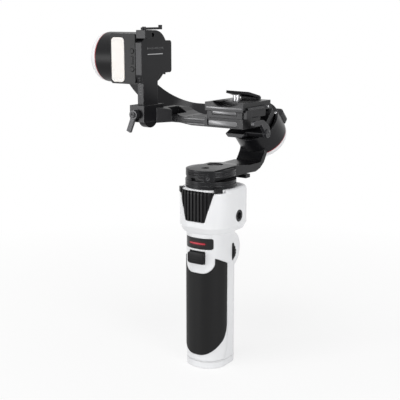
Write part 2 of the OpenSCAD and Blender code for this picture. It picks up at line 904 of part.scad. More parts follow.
module pan_arm() color(satin) {
    half = pan_arm_w / 2;
    difference() {
        union() {
            intersection() {
                translate([0, 0, arm_z - over]) linear_extrude(height = pan_arm_h + 2 * over) union() {
                    intersection() {
                        circle(pan_r - seat);
                        square([pan_arm_w, 2 * pan_r], center = true);
                    }
                    translate([-half, 0]) square([pan_arm_w, bend_y + pan_r]);
                }
                along_x(-half, pan_arm_w)
                    polygon([
                        [-pan_r, arm_z], [pan_r + pan_stroke + over, arm_z],
                        [bend_y, arm_z - over],
                        [bend_y + bend_t, arm_z - over + bend_t / 4],
                        [bend_y + 2 * bend_t, arm_z + pan_arm_h - arm_drop],
                        [bend_y - 2 * bend_t, arm_top - arm_drop],
                        [pan_r * 0.9, arm_top],
                        [-pan_r, arm_top]
                    ]);
            }
            along_x(-half + over, pan_arm_w - 2 * over)
                polygon([
                    [bend_y, arm_z - over],
                    roll_point(-case_r - arm_rise, case_back),
                    roll_point(-case_r - arm_rise * 0.42, case_back - bend_t / 3),
                    roll_point(-case_r + bend_t / 2, case_back),
                    roll_point(-case_r / 2, case_back + bend_t / 4),
                    roll_point(-case_r * 0.78, case_back + bend_t * 1.3),
                    roll_point(-case_r, case_back + bend_t * 0.85),
                    roll_point(-case_r - arm_rise / 3, case_back + bend_t * 0.7),
                    roll_point(-case_r - arm_rise * 0.7, case_back + bend_t * 0.6),
                    [bend_y - pan_arm_h / 2, arm_top - arm_drop]
                ]);
        }
        translate([-rail_w / 2 - gap, -pan_r - pan_stroke, arm_z - over])
            cube([rail_w + 2 * gap, 2 * (pan_r + pan_stroke), rail_h + over]);
        roll_frame() translate([0, 0, -roll_gap - roll_case_l - cover_l - over])
            cylinder(r = case_r + seat, h = 3 * case_r);
        for (s = [-1, 1])
            translate([s * half, bend_y / 9, arm_z + pan_arm_h / 2]) cube([2 * wall_t, 2 * pan_lever_r, pan_arm_h * 0.6], center = true);
        translate([0, pan_lever_y, arm_z - 2 * over])
            cylinder(r = axle_r + shaft_clear, h = pan_arm_h / 2);
        translate([-half * 0.29, bend_y / 4, arm_top - cap_depth]) cylinder(r = pan_arm_w / 4, h = 2 * cap_depth);
        translate([-half / 16, -pan_arm_w / 4, arm_top - cap_depth]) cylinder(r = pan_arm_w / 8, h = 2 * cap_depth);
        translate([0, 0, arm_z + pan_arm_h * 0.48]) intersection() {
            ring(2 * pan_r, pan_r - 2 * cap_depth, pan_arm_h * 0.34);
            translate([-half * 0.7, -2 * pan_r, 0]) cube([half * 1.4, 2 * pan_r, pan_arm_h]);
        }
    }
}

module pan_slide_lever() color(satin) {
    z = arm_z - over - pan_lever_t;
    translate([0, pan_lever_y, z]) {
        cylinder(r = pan_lever_r, h = pan_lever_t);
        translate([0, -pan_lever_r * 0.7, 0]) cube([pan_lever_l, pan_lever_r * 1.4, pan_lever_t]);
        cylinder(r = axle_r, h = pan_lever_t + pan_arm_h / 3);
    }
}

module roll_case() color(black) {
    back = -roll_gap - roll_case_l;
    difference() {
        roll_frame() union() {
            translate([0, 0, back]) cylinder(r = case_r, h = roll_case_l);
            translate([0, lobe_m, back - over]) rounded_block(lobe_w, lobe_d, lobe_l, lobe_round);
        }
        roll_frame() {
            translate([0, 0, back + bearing_t + over]) cylinder(r = case_r - wall_t, h = roll_case_l);
            translate([0, 0, back + over]) cylinder(r = bearing_r + seat, h = roll_case_l);
            translate([0, 0, back - over - lobe_l]) cylinder(r = case_r + seat, h = lobe_l + over);
            translate([-latch_w / 2 - gap, lobe_m + lobe_d / 2 - latch_h, back + lobe_l / 5])
                cube([latch_w + latch_stroke + 2 * gap, lobe_d, latch_d + 2 * gap]);
        }
    }
}

module roll_red_ring() color([0.6, 0.08, 0.1]) {
    roll_frame() translate([0, 0, -roll_gap - roll_case_l - over]) ring(case_r - seat, case_r - wall_t, over);
}

module roll_back_cover() color(white) {
    roll_frame() translate([0, 0, -roll_gap - roll_case_l - over]) mirror([0, 0, 1])
        dome(case_r - 2 * seat, cover_l, cover_round);
}

module roll_stator() color("peru") {
    l = roll_case_l - bearing_t - over - wall_t;
    roll_frame() translate([0, 0, -roll_gap - roll_case_l + bearing_t + over])
        ring(stator_r, stator_bore_r, l);
}

module roll_bearing() color(metal) {
    roll_frame() translate([0, 0, -roll_gap - roll_case_l + over])
        ring(bearing_r, shaft_r + shaft_clear, bearing_t);
}

module roll_lock_latch() color(satin) {
    back = -roll_gap - roll_case_l;
    grip_pitch = latch_w / 5;
    roll_frame() difference() {
        translate([-latch_w / 2, lobe_m + lobe_d / 2 - latch_h + seat, back + lobe_l / 5 + gap])
            cube([latch_w, latch_h + over, latch_d]);
        for (i = [1 : 4])
            translate([-latch_w / 2 + i * grip_pitch, lobe_m + lobe_d / 2 + over + seat, back])
                cylinder(r = grip_pitch / 4, h = lobe_l);
    }
}

// Bodies that turn with the roll motor
module roll_rotor() color(satin) {
    inner = roll_arm_w / 2 + seat;
    difference() {
        union() {
            roll_frame() {
                translate([0, 0, -roll_gap + gap]) cylinder(r = roll_disc_r, h = roll_disc_t);
                translate([0, 0, -roll_gap - roll_case_l + over]) cylinder(r = shaft_r, h = roll_case_l);
                for (s = [-1, 1]) {
                    translate([-guide_l / 2, s > 0 ? inner : -inner - guide_w, 0])
                        cube([guide_l, guide_w, tongue_top + seat + lip_t]);
                    translate([-guide_l / 2, s > 0 ? inner - lip_w : -inner - guide_w, tongue_top + seat])
                        cube([guide_l, guide_w + lip_w, lip_t]);
                }
            }
            intersection() {
                along_x(-foot_w / 2, foot_w) foot_outline();
                along_y(0, 2 * roll_y)
                    polygon([
                        [-foot_w / 2 + foot_cut, foot_low], [foot_w / 2 - foot_cut, foot_low],
                        [foot_w / 2, foot_low + foot_cut], [foot_w / 2, roll_z],
                        [-foot_w / 2, roll_z], [-foot_w / 2, foot_low + foot_cut]
                    ]);
            }
            rod_x(roll_lever_r, 0, roll_lever_x - gap, roll_lever_y, roll_lever_z);
        }
        rod_x(sweep_r, -roll_bend_x, 2 * roll_bend_x, tilt_y, tilt_z);
        rod_x(axle_r + shaft_clear, roll_lever_x - 2 * roll_lever_r - gap, roll_lever_l, roll_lever_y, roll_lever_z);
    }
}

// Side view of the foot under the guide, from the front corner round to the disc
module foot_outline() {
    polygon([
        [foot_front, foot_low], [roll_y - roll_disc_r + over, foot_low],
        [roll_y - roll_disc_r * 0.72, foot_low + over], [roll_y - roll_disc_r / 2, foot_low + 5 * over + seat],
        [roll_y - roll_disc_r * 0.77, roll_z - roll_gap], [foot_front, roll_z - roll_gap]
    ]);
}

module roll_magnet_ring() color("gray") {
    l = roll_case_l - bearing_t - 2 * wall_t;
    roll_frame() translate([0, 0, -roll_gap + gap - l]) ring(magnet_r, magnet_r - magnet_t, l);
}

module roll_slide_lever() color(metal) {
    top = roll_lever_z + roll_lever_rise;
    rod_x(roll_lever_r, roll_lever_x, roll_lever_t, roll_lever_y, roll_lever_z);
    rod_x(axle_r, roll_lever_x - 2 * roll_lever_r, 2 * roll_lever_r + over, roll_lever_y, roll_lever_z);
    along_x(roll_lever_x, roll_lever_t)
        polygon([
            [roll_lever_y - roll_lever_r, roll_lever_z], [roll_lever_y + roll_lever_r, roll_lever_z],
            [roll_lever_y + roll_lever_r * 0.4, roll_lever_z + roll_lever_rise / 2],
            [roll_lever_y - roll_lever_l / 3, top - over / 2], [roll_lever_y - roll_lever_l / 2, top],
            [roll_lever_y - roll_lever_l * 0.9, top], [roll_lever_y - roll_lever_l - over, top - over],
            [roll_lever_y - roll_lever_l - over, top - roll_lever_w],
            [roll_lever_y - roll_lever_l * 0.85, top - roll_lever_w - over],
            [roll_lever_y - roll_lever_l / 2, top - roll_lever_w - over / 2]
        ]);
}

tilt_a = 79;

module roll_arm() color(satin) {
    outer_r = roll_bend_r + roll_arm_t;
    neck = roll_stroke + 2 * over;
    difference() {
        roll_frame() translate([0, roll_arm_w / 2, 0]) rotate([90, 0, 0])
            linear_extrude(height = roll_arm_w) union() {
                difference() {
                    translate([-roll_bend_x, roll_bend_a]) circle(outer_r);
                    translate([-roll_bend_x, roll_bend_a]) circle(roll_bend_r);
                    translate([-roll_bend_x, -outer_r]) square([3 * outer_r, 3 * outer_r]);
                    translate([-roll_bend_x - 2 * outer_r, roll_bend_a]) square([3 * outer_r, 2 * outer_r]);
                }
                translate([-roll_bend_x - outer_r, roll_bend_a - over]) square([roll_arm_t, tilt_a - roll_bend_a]);
                polygon([
                    [-roll_bend_x - over, tongue_top - roll_arm_t],
                    [-guide_l - neck, tongue_top - roll_arm_t],
                    [-guide_l - over, tongue_a],
                    [tongue_end, tongue_a], [tongue_end, tongue_top], [-roll_bend_x - over, tongue_top]
                ]);
            }
        tilt_frame(case_left - 2 * over) cylinder(r = case_r + seat, h = tilt_case_l + 4 * over);
    }
}

module tilt_case() color(black) {
    half = nose_h / 2;
    difference() {
        union() {
            tilt_frame(case_left) cylinder(r = case_r, h = tilt_case_l);
            translate([case_right - nose_l / 2, tilt_y - nose_d / 2, tilt_z])
                rotate([90, 0, 0]) translate([0, 0, -nose_d / 2])
                    rounded_block(nose_l, nose_h, nose_d, nose_round);
        }
        tilt_frame(case_left + tilt_case_l / 2) cylinder(r = case_r - wall_t - seat, h = tilt_case_l);
        tilt_frame(case_left + tilt_case_l / 2 - bearing_t - gap) cylinder(r = bearing_r + seat, h = tilt_case_l);
        translate([light_x, tilt_y - nose_d + light_t, tilt_z - light_low]) rotate([90, 0, 0])
            rounded_block(light_w + 2 * seat, light_h + 2 * seat, nose_d, light_w / 4);
        for (s = [-1, 1])
            rod_y(light_button_r + gap, tilt_y - nose_d - over, over + light_t + button_stroke, light_button_x, tilt_z - light_low + s * light_button_z);
        translate([light_button_x, tilt_y - nose_d, tilt_z - light_low])
            cube([indicator_w + 2 * gap, 2 * light_t, indicator_h + 2 * gap], center = true);
    }
}

module tilt_red_ring() color([0.6, 0.08, 0.1]) {
    tilt_frame(case_left - over) ring(case_r - seat, case_r - wall_t, over);
}

module tilt_end_cover() color(white) {
    tilt_frame(case_left - over) mirror([0, 0, 1]) dome(case_r - 2 * seat, cover_l, cover_round);
}

module tilt_stator() color("peru") {
    tilt_frame(case_left + tilt_case_l / 2) ring(stator_r - over, stator_bore_r, tilt_case_l / 2 - hub_t - wall_t);
}

module tilt_bearing() color(metal) {
    tilt_frame(case_left + tilt_case_l / 2 - bearing_t) ring(bearing_r, shaft_r + shaft_clear, bearing_t);
}

module light_panel() color([0.93, 0.91, 0.86]) {
    translate([light_x, tilt_y - nose_d + light_t - seat, tilt_z - light_low]) rotate([90, 0, 0])
        rounded_block(light_w, light_h, light_t - seat + grip_proud, light_w / 4);
}

module light_button(z) {
    rod_y(light_button_r, tilt_y - nose_d - grip_proud, light_t, light_button_x, z);
}

module light_button_up() color(satin) {
    light_button(tilt_z - light_low + light_button_z);
}

module light_button_down() color(satin) {
    light_button(tilt_z - light_low - light_button_z);
}

module light_indicator() color(black) {
    translate([light_button_x, tilt_y - nose_d + light_t / 2 - grip_proud, tilt_z - light_low])
        cube([indicator_w, light_t, indicator_h], center = true);
}

// Bodies that turn with the tilt motor
module tilt_rotor() color(metal) {
    tilt_frame(plate_left - hub_t) cylinder(r = hub_r, h = hub_t);
    l = tilt_case_l / 2 + bearing_t - seat;
    tilt_frame(plate_left - l) cylinder(r = shaft_r, h = l);
}

module tilt_magnet_ring() color("gray") {
    l = tilt_case_l / 2 - hub_t - wall_t;
    tilt_frame(plate_left - hub_t - l) ring(magnet_r - over, magnet_r - magnet_t - over, l);
}

module plate_outline() {
    stem_mid = stem_front + stem_w / 2;
    stem_back = stem_front + stem_w;
    translate([stem_mid, stem_low]) circle(stem_w / 2);
    translate([stem_front, stem_low]) square([stem_w, head_low + over - stem_low]);
    polygon([
        [stem_front, head_low - waist_r], [stem_back, head_low - waist_r], [stem_back, head_low],
        [head_back, head_low], [head_back, head_high + over],
        [head_front + nose_round * 3, sight_z], [head_front, head_high], [head_front, head_low]
    ]);
    difference() {
        translate([stem_mid, head_low - waist_r]) square([head_back - stem_mid, waist_r + over]);
        translate([stem_back + waist_r, head_low - waist_r]) circle(waist_r);
    }
    difference() {
        translate([crown_y, crown_z]) circle(crown_r);
        translate([crown_y - 2 * crown_r, crown_z - 2 * crown_r]) square([4 * crown_r, 2 * crown_r]);
        translate([head_front - crown_r, crown_z - crown_r]) square([crown_r, 2 * crown_r]);
    }
    translate([head_back - block_round, block_low]) square([block_d, block_high - block_low]);
    translate([head_back, block_low + block_round])
        square([block_d, block_high - block_low - 2 * block_round]);
    for (z = [block_low + block_round, block_high - block_round])
        translate([head_back - block_round + block_d, z]) circle(block_round);
}

module tilt_plate() color(satin) {
    difference() {
        along_x(plate_left, plate_t) plate_outline();
        rod_x(sight_r, plate_left - over, plate_t + 2 * over, sight_y, sight_z);
        translate([plate_left, lock_y - seat, lock_top - lock_h - seat]) cube([2 * plate_t, lock_d + seat + seat, lock_h + over]);
    }
}

lock_x = plate_left;

module tilt_lock_block() color(black) {
    difference() {
        translate([lock_x, lock_y, lock_top - lock_h]) cube([lock_w, lock_d, lock_h - seat]);
        translate([lock_x + lock_w / 2, lock_y + lock_d / 2, lock_top - lock_h / 2])
            cylinder(r = axle_r + shaft_clear, h = lock_h);
    }
}

module tilt_lock_lever() color(satin) {
    translate([lock_x + lock_w / 2, lock_y + lock_d / 2, lock_top]) {
        cylinder(r = lock_lever_w * 0.8, h = lock_lever_t);
        translate([0, 0, -lock_h / 2 + seat]) cylinder(r = axle_r, h = lock_h / 2);
        translate([-lock_lever_w / 2, 0, 0]) cube([lock_lever_w, lock_lever_l, lock_lever_t]);
        translate([0, lock_lever_l, 0]) cylinder(r = lock_lever_w / 2, h = 2 * lock_lever_t);
    }
}

module platform_clamp() color(satin) {
    stem_back = stem_front + stem_w;
    difference() {
        translate([clamp_left, clamp_front, clamp_low])
            cube([clamp_right - clamp_left, clamp_back - clamp_front, clamp_h]);
        translate([plate_left - gap, stem_front - gap, clamp_low - over])
            cube([plate_t + 2 * gap, stem_w + 2 * gap, clamp_h + 2 * over]);
        translate([clamp_left - over, stem_front + clamp_lip, clamp_low - over])
            cube([plate_left - clamp_left + 2 * over, stem_w - 2 * clamp_lip, clamp_h + 2 * over]);
        rod_y(axle_r + shaft_clear, clamp_front - over, stem_front - gap - clamp_front - over, hub_x, hub_z);
    }
}

module platform_arm() color(satin) {
    back = bar_front + bar_d;
    groove = bar_t / 6;
    root_end = bar_left + gusset_l;
    span = -qr_w / 2 - root_end;
    difference() {
        union() {
            intersection() {
                translate([0, 0, bar_z]) linear_extrude(height = 3 * bar_t)
                    polygon([
                        [bar_left + gusset_l / 3, bar_front], [bar_right, bar_front], [bar_right, back],
                        [bar_left + gusset_l / 3, back], [bar_left, root_back], [bar_left, root_front]
                    ]);
                along_y(0, 2 * bar_d)
                    polygon([
                        [bar_left, bar_z + gusset_rise], [bar_left, bar_z + bar_t + gusset_h],
                        [bar_left + gusset_l / 4, bar_z + bar_t + gusset_h * 0.8],
                        [bar_left + gusset_l / 2, bar_z + bar_t + gusset_h * 0.4],
                        [bar_left + gusset_l * 0.8, bar_z + bar_t + gusset_h * 0.1],
                        [root_end + over, bar_z + bar_t], [bar_right, bar_z + bar_t], [bar_right, bar_z],
                        [root_end + span / 3, bar_z], [root_end - span / 4, bar_z + gusset_rise]
                    ]);
            }
            translate([-qr_w / 2, bar_front, bar_z]) cube([qr_w, bar_d, pad_h]);
        }
        for (y = [bar_front + bar_d / 8, bar_front + bar_d * 0.4])
            translate([root_end, y, bar_z + bar_t - groove]) cube([span - groove, 2 * groove, groove + over]);
        translate([root_end - gusset_l / 2, bar_front - over, bar_z + gusset_rise + groove])
            cube([span + gusset_l / 2 - 2 * groove, groove + over, bar_t - lip_h - gusset_rise - groove]);
        translate([bar_left + wall_t, bar_front, bar_z + bar_t])
            cube([gusset_l / 2, bar_d * 0.55, bar_t + gusset_h]);
        translate([-qr_w / 2 + 2 * groove, bar_front - over, bar_z + groove])
            cube([qr_w - 5 * groove, groove + over, pad_h - 2 * groove]);
    }
}

module clamp_lever() color(metal) {
    translate([hub_x, clamp_front - gap, hub_z]) rotate([90, 0, 0]) {
        cylinder(r = hub_lever_r, h = hub_l);
        rotate([0, 0, -lever_lean]) translate([-lever_w / 2, -lever_l, over])
            cube([lever_w, lever_l, hub_l - 2 * over]);
        translate([0, 0, -hub_l / 2]) cylinder(r = axle_r, h = hub_l);
    }
}

module qr_base() color(satin) {
    ear_right = qr_lever_x + qr_lever_t * 0.7;
    difference() {
        union() {
            difference() {
                translate([-qr_base_w / 2, bar_front + over, qr_base_z])
                    cube([qr_base_w, qr_base_l, qr_base_h]);
                translate([-qr_slot_w / 2, bar_front, qr_base_z + qr_base_h - qr_slot_d])
                    cube([qr_slot_w, qr_base_l + 3 * over, qr_slot_d + over]);
            }
            translate([qr_base_w / 2 - over, qr_lever_y - qr_ear_l / 2, qr_base_z + seat])
                cube([ear_right - qr_base_w / 2 + over, qr_ear_l, qr_base_h - seat]);
            translate([qr_w / 2 + gap, qr_lever_y - qr_ear_l / 2, qr_base_z + qr_base_h / 2])
                cube([ear_right - qr_w / 2 - gap, qr_ear_l, qr_lever_z - seat - qr_base_z - qr_base_h / 2]);
        }
        translate([qr_lever_x, qr_lever_y, qr_lever_z - qr_pin_l - seat])
            cylinder(r = qr_pin_r + shaft_clear, h = 2 * qr_pin_l);
    }
}

module qr_lever() color(metal) {
    translate([qr_lever_x, qr_lever_y, qr_lever_z]) {
        cylinder(r = qr_lever_t / 2, h = qr_lever_h);
        translate([0, 0, -qr_pin_l]) cylinder(r = qr_pin_r, h = qr_pin_l + over);
        translate([-qr_lever_t / 2, 0, 0]) cube([qr_lever_t, qr_lever_l, qr_lever_h]);
        translate([qr_knob_r - qr_lever_t / 2, qr_lever_l, 0]) cylinder(r = qr_knob_r, h = qr_lever_h);
    }
}

module qr_plate() color(satin) {
    difference() {
        union() {
            translate([-qr_w / 2, bar_front, qr_z]) cube([qr_w, qr_l, qr_h]);
            translate([-qr_slot_w / 2 + gap, bar_front + over, qr_z - qr_slot_d])
                cube([qr_slot_w - 2 * gap, qr_l - 6 * over, qr_slot_d + over]);
        }
        rod_y(qr_dip_r, bar_front - over, qr_dip_l + over, 0, qr_z + qr_h - qr_dip + qr_dip_r);
        translate([0, screw_y, qr_z - qr_slot_d - over]) cylinder(r = thread_r + gap, h = 4 * qr_h);
        translate([0, screw_y, qr_z - qr_slot_d - over]) cylinder(r = screw_head_r + gap, h = screw_head_t + gap + over);
    }
}

module camera_screw() color(metal) {
    translate([0, screw_y, qr_z - qr_slot_d + gap / 2]) {
        cylinder(r = screw_head_r, h = screw_head_t - gap / 2);
        cylinder(r = shank_r, h = qr_slot_d + qr_h);
        translate([0, 0, qr_slot_d + qr_h - gap / 2]) cylinder(r = thread_r, h = screw_out);
    }
}

module lens_stop() color(black) {
    foot = qr_z + qr_h + seat;
    translate([stop_x, stop_y, foot]) {
        translate([-stop_w / 4, -stop_foot / 2, 0]) cube([stop_w * 0.7, stop_foot, stop_t]);
        rotate([0, 0, stop_turn]) translate([0, 0, stop_t / 2]) rotate([-stop_lean, 0, 0])
            translate([-stop_w / 2, -stop_l, 0]) cube([stop_w, stop_l, stop_t]);
    }
}

handle_shell();
grip();
base_cap();
tripod_insert();
battery_cell();
main_board();
rear_panel();
status_panel();
status_light();
trigger();
trigger_pin();
control_wheel();
wheel_axle();
joystick();
record_button();
power_button();
mode_button();
upper_housing();
front_grille();
side_insert();
pan_lock_latch();
pan_stator();
pan_bearing();
pan_rotor();
pan_magnet_ring();
pan_arm();
pan_slide_lever();
roll_case();
roll_red_ring();
roll_back_cover();
roll_stator();
roll_bearing();
roll_lock_latch();
roll_rotor();
roll_magnet_ring();
roll_slide_lever();
roll_arm();
tilt_case();
tilt_red_ring();
tilt_end_cover();
tilt_stator();
tilt_bearing();
light_panel();
light_button_up();
light_button_down();
light_indicator();
tilt_rotor();
tilt_magnet_ring();
tilt_plate();
tilt_lock_block();
tilt_lock_lever();
platform_clamp();
platform_arm();
clamp_lever();
qr_base();
qr_lever();
qr_plate();
camera_screw();
lens_stop();
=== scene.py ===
import math
import bpy
from mathutils import Matrix, Vector


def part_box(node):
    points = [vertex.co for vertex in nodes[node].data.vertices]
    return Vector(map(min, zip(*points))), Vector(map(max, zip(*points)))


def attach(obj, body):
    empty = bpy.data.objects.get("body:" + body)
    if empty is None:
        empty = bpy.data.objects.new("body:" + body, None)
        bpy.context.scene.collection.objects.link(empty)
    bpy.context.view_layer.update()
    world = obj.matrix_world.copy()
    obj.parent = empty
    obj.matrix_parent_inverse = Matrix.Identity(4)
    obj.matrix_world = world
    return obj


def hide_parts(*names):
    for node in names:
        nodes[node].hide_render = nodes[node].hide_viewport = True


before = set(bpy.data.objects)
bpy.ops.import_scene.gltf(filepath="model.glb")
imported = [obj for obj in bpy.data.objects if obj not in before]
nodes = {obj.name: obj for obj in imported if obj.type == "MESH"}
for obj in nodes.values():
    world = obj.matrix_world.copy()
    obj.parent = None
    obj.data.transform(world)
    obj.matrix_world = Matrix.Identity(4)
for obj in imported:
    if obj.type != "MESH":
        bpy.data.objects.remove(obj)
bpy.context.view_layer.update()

scene = bpy.context.scene
mm = 0.001
print("frame loaded:", len(nodes), "nodes")


class Sock:
    # wraps a shader socket, so that maths on it is written as plain expressions
    def __init__(self, surface, socket):
        self.surface = surface
        self.socket = socket

    def math(self, operation, *others, first=None):
        values = [self if first is None else first, *others]
        return self.surface.add("ShaderNodeMath", {"operation": operation}, dict(enumerate(values)))

    def __add__(self, other):
        return self.math("ADD", other)

    __radd__ = __add__

    def __mul__(self, other):
        return self.math("MULTIPLY", other)

    __rmul__ = __mul__

    def __sub__(self, other):
        return self.math("SUBTRACT", other)

    def __rsub__(self, other):
        return self.math("SUBTRACT", self, first=other)


# how edges are found that are painted lighter, partly as wear and partly as a painted highlight, and the
# patches that break them up
wearAndHighlightLook = dict(samples=4, flatAt=0.995, edgeAt=0.8, patchScale=160.0, patchFrom=0.3, patchTo=0.7,
                least=0.25, most=0.9, width=0.9)


class Surface:
    # one material, with its Principled shader and a method that adds any other node
    def __init__(self, name, **constants):
        self.material = bpy.data.materials.new(name)
        self.material.use_nodes = True
        self.nodeTree = self.material.node_tree
        self.shader = self.nodeTree.nodes["Principled BSDF"]
        for key, value in constants.items():
            self.shader.inputs[key.replace("_", " ")].default_value = value

    def add(self, kind, settings=None, inputs=None, out=0):
        node = self.nodeTree.nodes.new(kind)
        for key, value in (settings or {}).items():
            setattr(node, key, value)
        for key, value in (inputs or {}).items():
            if isinstance(value, Sock):
                self.nodeTree.links.new(value.socket, node.inputs[key])
            else:
                node.inputs[key].default_value = value
        return Sock(self, node.outputs[out])

    def feed(self, name, value):
        self.nodeTree.links.new(value.socket, self.shader.inputs[name])

    def place(self):
        return self.add("ShaderNodeTexCoord", out="Object")

    def noise(self, scale, detail=3.0, roughness=0.5):
        return self.add("ShaderNodeTexNoise", None, {
            "Vector": self.place(), "Scale": scale, "Detail": detail, "Roughness": roughness})

    def axes(self):
        parts = self.add("ShaderNodeSeparateXYZ", None, {"Vector": self.place()})
        return [Sock(self, output) for output in parts.socket.node.outputs]

    def rounded(self, radius):
        return self.add("ShaderNodeBevel", {"samples": wearAndHighlightLook["samples"]}, {"Radius": radius})

    def ramp(self, value, start, end, low=0.0, high=1.0):
        # value from start to end becomes low to high, held at both ends
        return self.add("ShaderNodeMapRange", None, {0: value, 1: start, 2: end, 3: low, 4: high})

    def edges(self, radius):
        # 0 on flat stretches, rising to 1 over edges
        flat = self.add("ShaderNodeNewGeometry", out="Normal")
        along = self.add("ShaderNodeVectorMath", {"operation": "DOT_PRODUCT"},
                         {0: self.rounded(radius), 1: flat}, out="Value")
        return self.ramp(along, wearAndHighlightLook["flatAt"], wearAndHighlightLook["edgeAt"])

    def bump(self, height, strength, distance, rounding=0.0):
        inputs = {"Height": height, "Strength": strength, "Distance": distance}
        if rounding:
            inputs["Normal"] = self.rounded(rounding)
        self.feed("Normal", self.add("ShaderNodeBump", None, inputs))

    def tint(self, factor, dark, light):
        # dark and light are colours, or sockets that carry one
        ends = [end if isinstance(end, Sock) else (*end, 1) for end in (dark, light)]
        return self.add("ShaderNodeMix", {"data_type": "RGBA"}, {0: factor, 6: ends[0], 7: ends[1]}, out=2)

    def spread(self, value, low, high):
        return value * (high - low) + low


# finishes, each with its colour range, the colour of its edges (wear and a painted edge highlight), roughness
# range, grain, and the grain's lift and the edges' rounding, which are in mm as are all sizes up to the
# camera
finishes = {
    "whiteShell": dict(dark=(0.66, 0.665, 0.68), light=(0.72, 0.725, 0.735), wornAndHighlitEdge=(0.76, 0.76, 0.765),
                       rough=(0.3, 0.4), grain=2600, lift=0.02, rounding=0.9, coat=0.2),
    "satinBlack": dict(dark=(0.005, 0.005, 0.0055), light=(0.01, 0.01, 0.011), wornAndHighlitEdge=(0.05, 0.05, 0.052),
                       rough=(0.28, 0.42), grain=2400, lift=0.03, rounding=0.5, sheen=0.14),
    "blackAlloy": dict(dark=(0.006, 0.006, 0.007), light=(0.012, 0.012, 0.0135), wornAndHighlitEdge=(0.16, 0.16, 0.165),
                       rough=(0.24, 0.36), grain=3800, lift=0.02, rounding=0.5, metal=0.2, sheen=0.2),
    "greyAlloy": dict(dark=(0.016, 0.016, 0.018), light=(0.028, 0.028, 0.031), wornAndHighlitEdge=(0.34, 0.34, 0.35),
                      rough=(0.22, 0.34), grain=3000, lift=0.02, rounding=0.5, metal=0.3, sheen=0.3),
    # lighter than the black alloy: a painted highlight for front faces lit by the front lamp, on brushed
    # metal
    "brushedHighlightFace": dict(dark=(0.11, 0.11, 0.113), light=(0.16, 0.16, 0.164), wornAndHighlitEdge=(0.45, 0.45, 0.46),
                        rough=(0.28, 0.4), grain=3000, lift=0.02, rounding=0.4, metal=0.5),
    "brightSteel": dict(dark=(0.38, 0.38, 0.39), light=(0.5, 0.5, 0.51), wornAndHighlitEdge=(0.7, 0.7, 0.7),
                        rough=(0.22, 0.34), grain=2600, lift=0.01, rounding=0.3, metal=1.0),
    "brassTurned": dict(dark=(0.5, 0.36, 0.14), light=(0.68, 0.5, 0.22), wornAndHighlitEdge=(0.8, 0.65, 0.35),
                        rough=(0.22, 0.34), grain=2600, lift=0.01, rounding=0.3, metal=1.0),
    "copperWire": dict(dark=(0.35, 0.12, 0.04), light=(0.62, 0.26, 0.1), wornAndHighlitEdge=(0.7, 0.35, 0.18),
                       rough=(0.3, 0.45), grain=900, lift=0.1, rounding=0.2, metal=0.9, coat=0.2),
    "redTrim": dict(dark=(0.24, 0.008, 0.016), light=(0.36, 0.012, 0.025), wornAndHighlitEdge=(0.45, 0.05, 0.06),
                    rough=(0.28, 0.36), grain=2400, lift=0.01, rounding=0.3, coat=0.3),
    "boardGreen": dict(dark=(0.01, 0.06, 0.02), light=(0.02, 0.12, 0.04), wornAndHighlitEdge=(0.1, 0.2, 0.1),
                       rough=(0.35, 0.5), grain=1200, lift=0.03, rounding=0.2, coat=0.2),
    "cellWrap": dict(dark=(0.03, 0.07, 0.2), light=(0.05, 0.11, 0.3), wornAndHighlitEdge=(0.1, 0.18, 0.4),
                     rough=(0.25, 0.4), grain=900, lift=0.02, rounding=0.3, coat=0.3),
    "paleMark": dict(dark=(0.2, 0.2, 0.205), light=(0.28, 0.28, 0.285), wornAndHighlitEdge=(0.15, 0.15, 0.15),
                     rough=(0.4, 0.5), grain=2400, lift=0.01, rounding=0.1),
}
# the two noises that every finish shares: broad cloudiness and fine grain
grainLook = dict(broadScale=38.0, broadDetail=4.0, fineDetail=2.0, fineRoughness=0.6, broadShare=0.6,
                 strength=0.5)


def makeFinish(name, dark, light, wornAndHighlitEdge, rough, grain, lift, rounding, metal=0.0, coat=0.0, sheen=0.5):
    surface = Surface(name, Metallic=metal, Coat_Weight=coat, Specular_IOR_Level=sheen)
    broad = surface.noise(grainLook["broadScale"], grainLook["broadDetail"])
    fine = surface.noise(grain, grainLook["fineDetail"], grainLook["fineRoughness"])
    patches = surface.ramp(surface.noise(wearAndHighlightLook["patchScale"]), wearAndHighlightLook["patchFrom"],
                           wearAndHighlightLook["patchTo"], wearAndHighlightLook["least"], wearAndHighlightLook["most"])
    # edges tinted towards the edge colour, partly as wear and partly as a painted highlight where the lamps
    # would catch them
    wearAndHighlight = surface.edges(rounding * mm * wearAndHighlightLook["width"]) * patches
    surface.feed("Base Color", surface.tint(wearAndHighlight, surface.tint(broad, dark, light), wornAndHighlitEdge))
    share = grainLook["broadShare"]
    surface.feed("Roughness", surface.spread(broad * share + fine * (1 - share), *rough))
    surface.bump(fine, grainLook["strength"], lift * mm, rounding * mm)
    return surface.material


# small raised diamonds in rows, slightly paler on their tops, with edges painted lighter as wear and as a
# highlight
rubberLook = dict(slant=0.6, topFrom=-0.1, topTo=0.5, fineScale=3000.0, fineDetail=2.0, patchScale=30.0,
                  patchDetail=4.0, dark=(0.0045, 0.0045, 0.0048), light=(0.013, 0.013, 0.0135),
                  wornAndHighlitEdge=(0.05, 0.05, 0.05), wornAndHighlitEdgeShare=0.5, rough=(0.42, 0.6), rounding=0.5, strength=0.4,
                  colourShares=(0.4, 0.3, 0.3), roughShares=(0.5, 0.5), heightShares=(0.7, 0.3), sheen=0.16)


def blend(shares, parts):
    # values added up, each by its share
    total = parts[0] * shares[0]
    for part, share in zip(parts[1:], shares[1:]):
        total = total + part * share
    return total


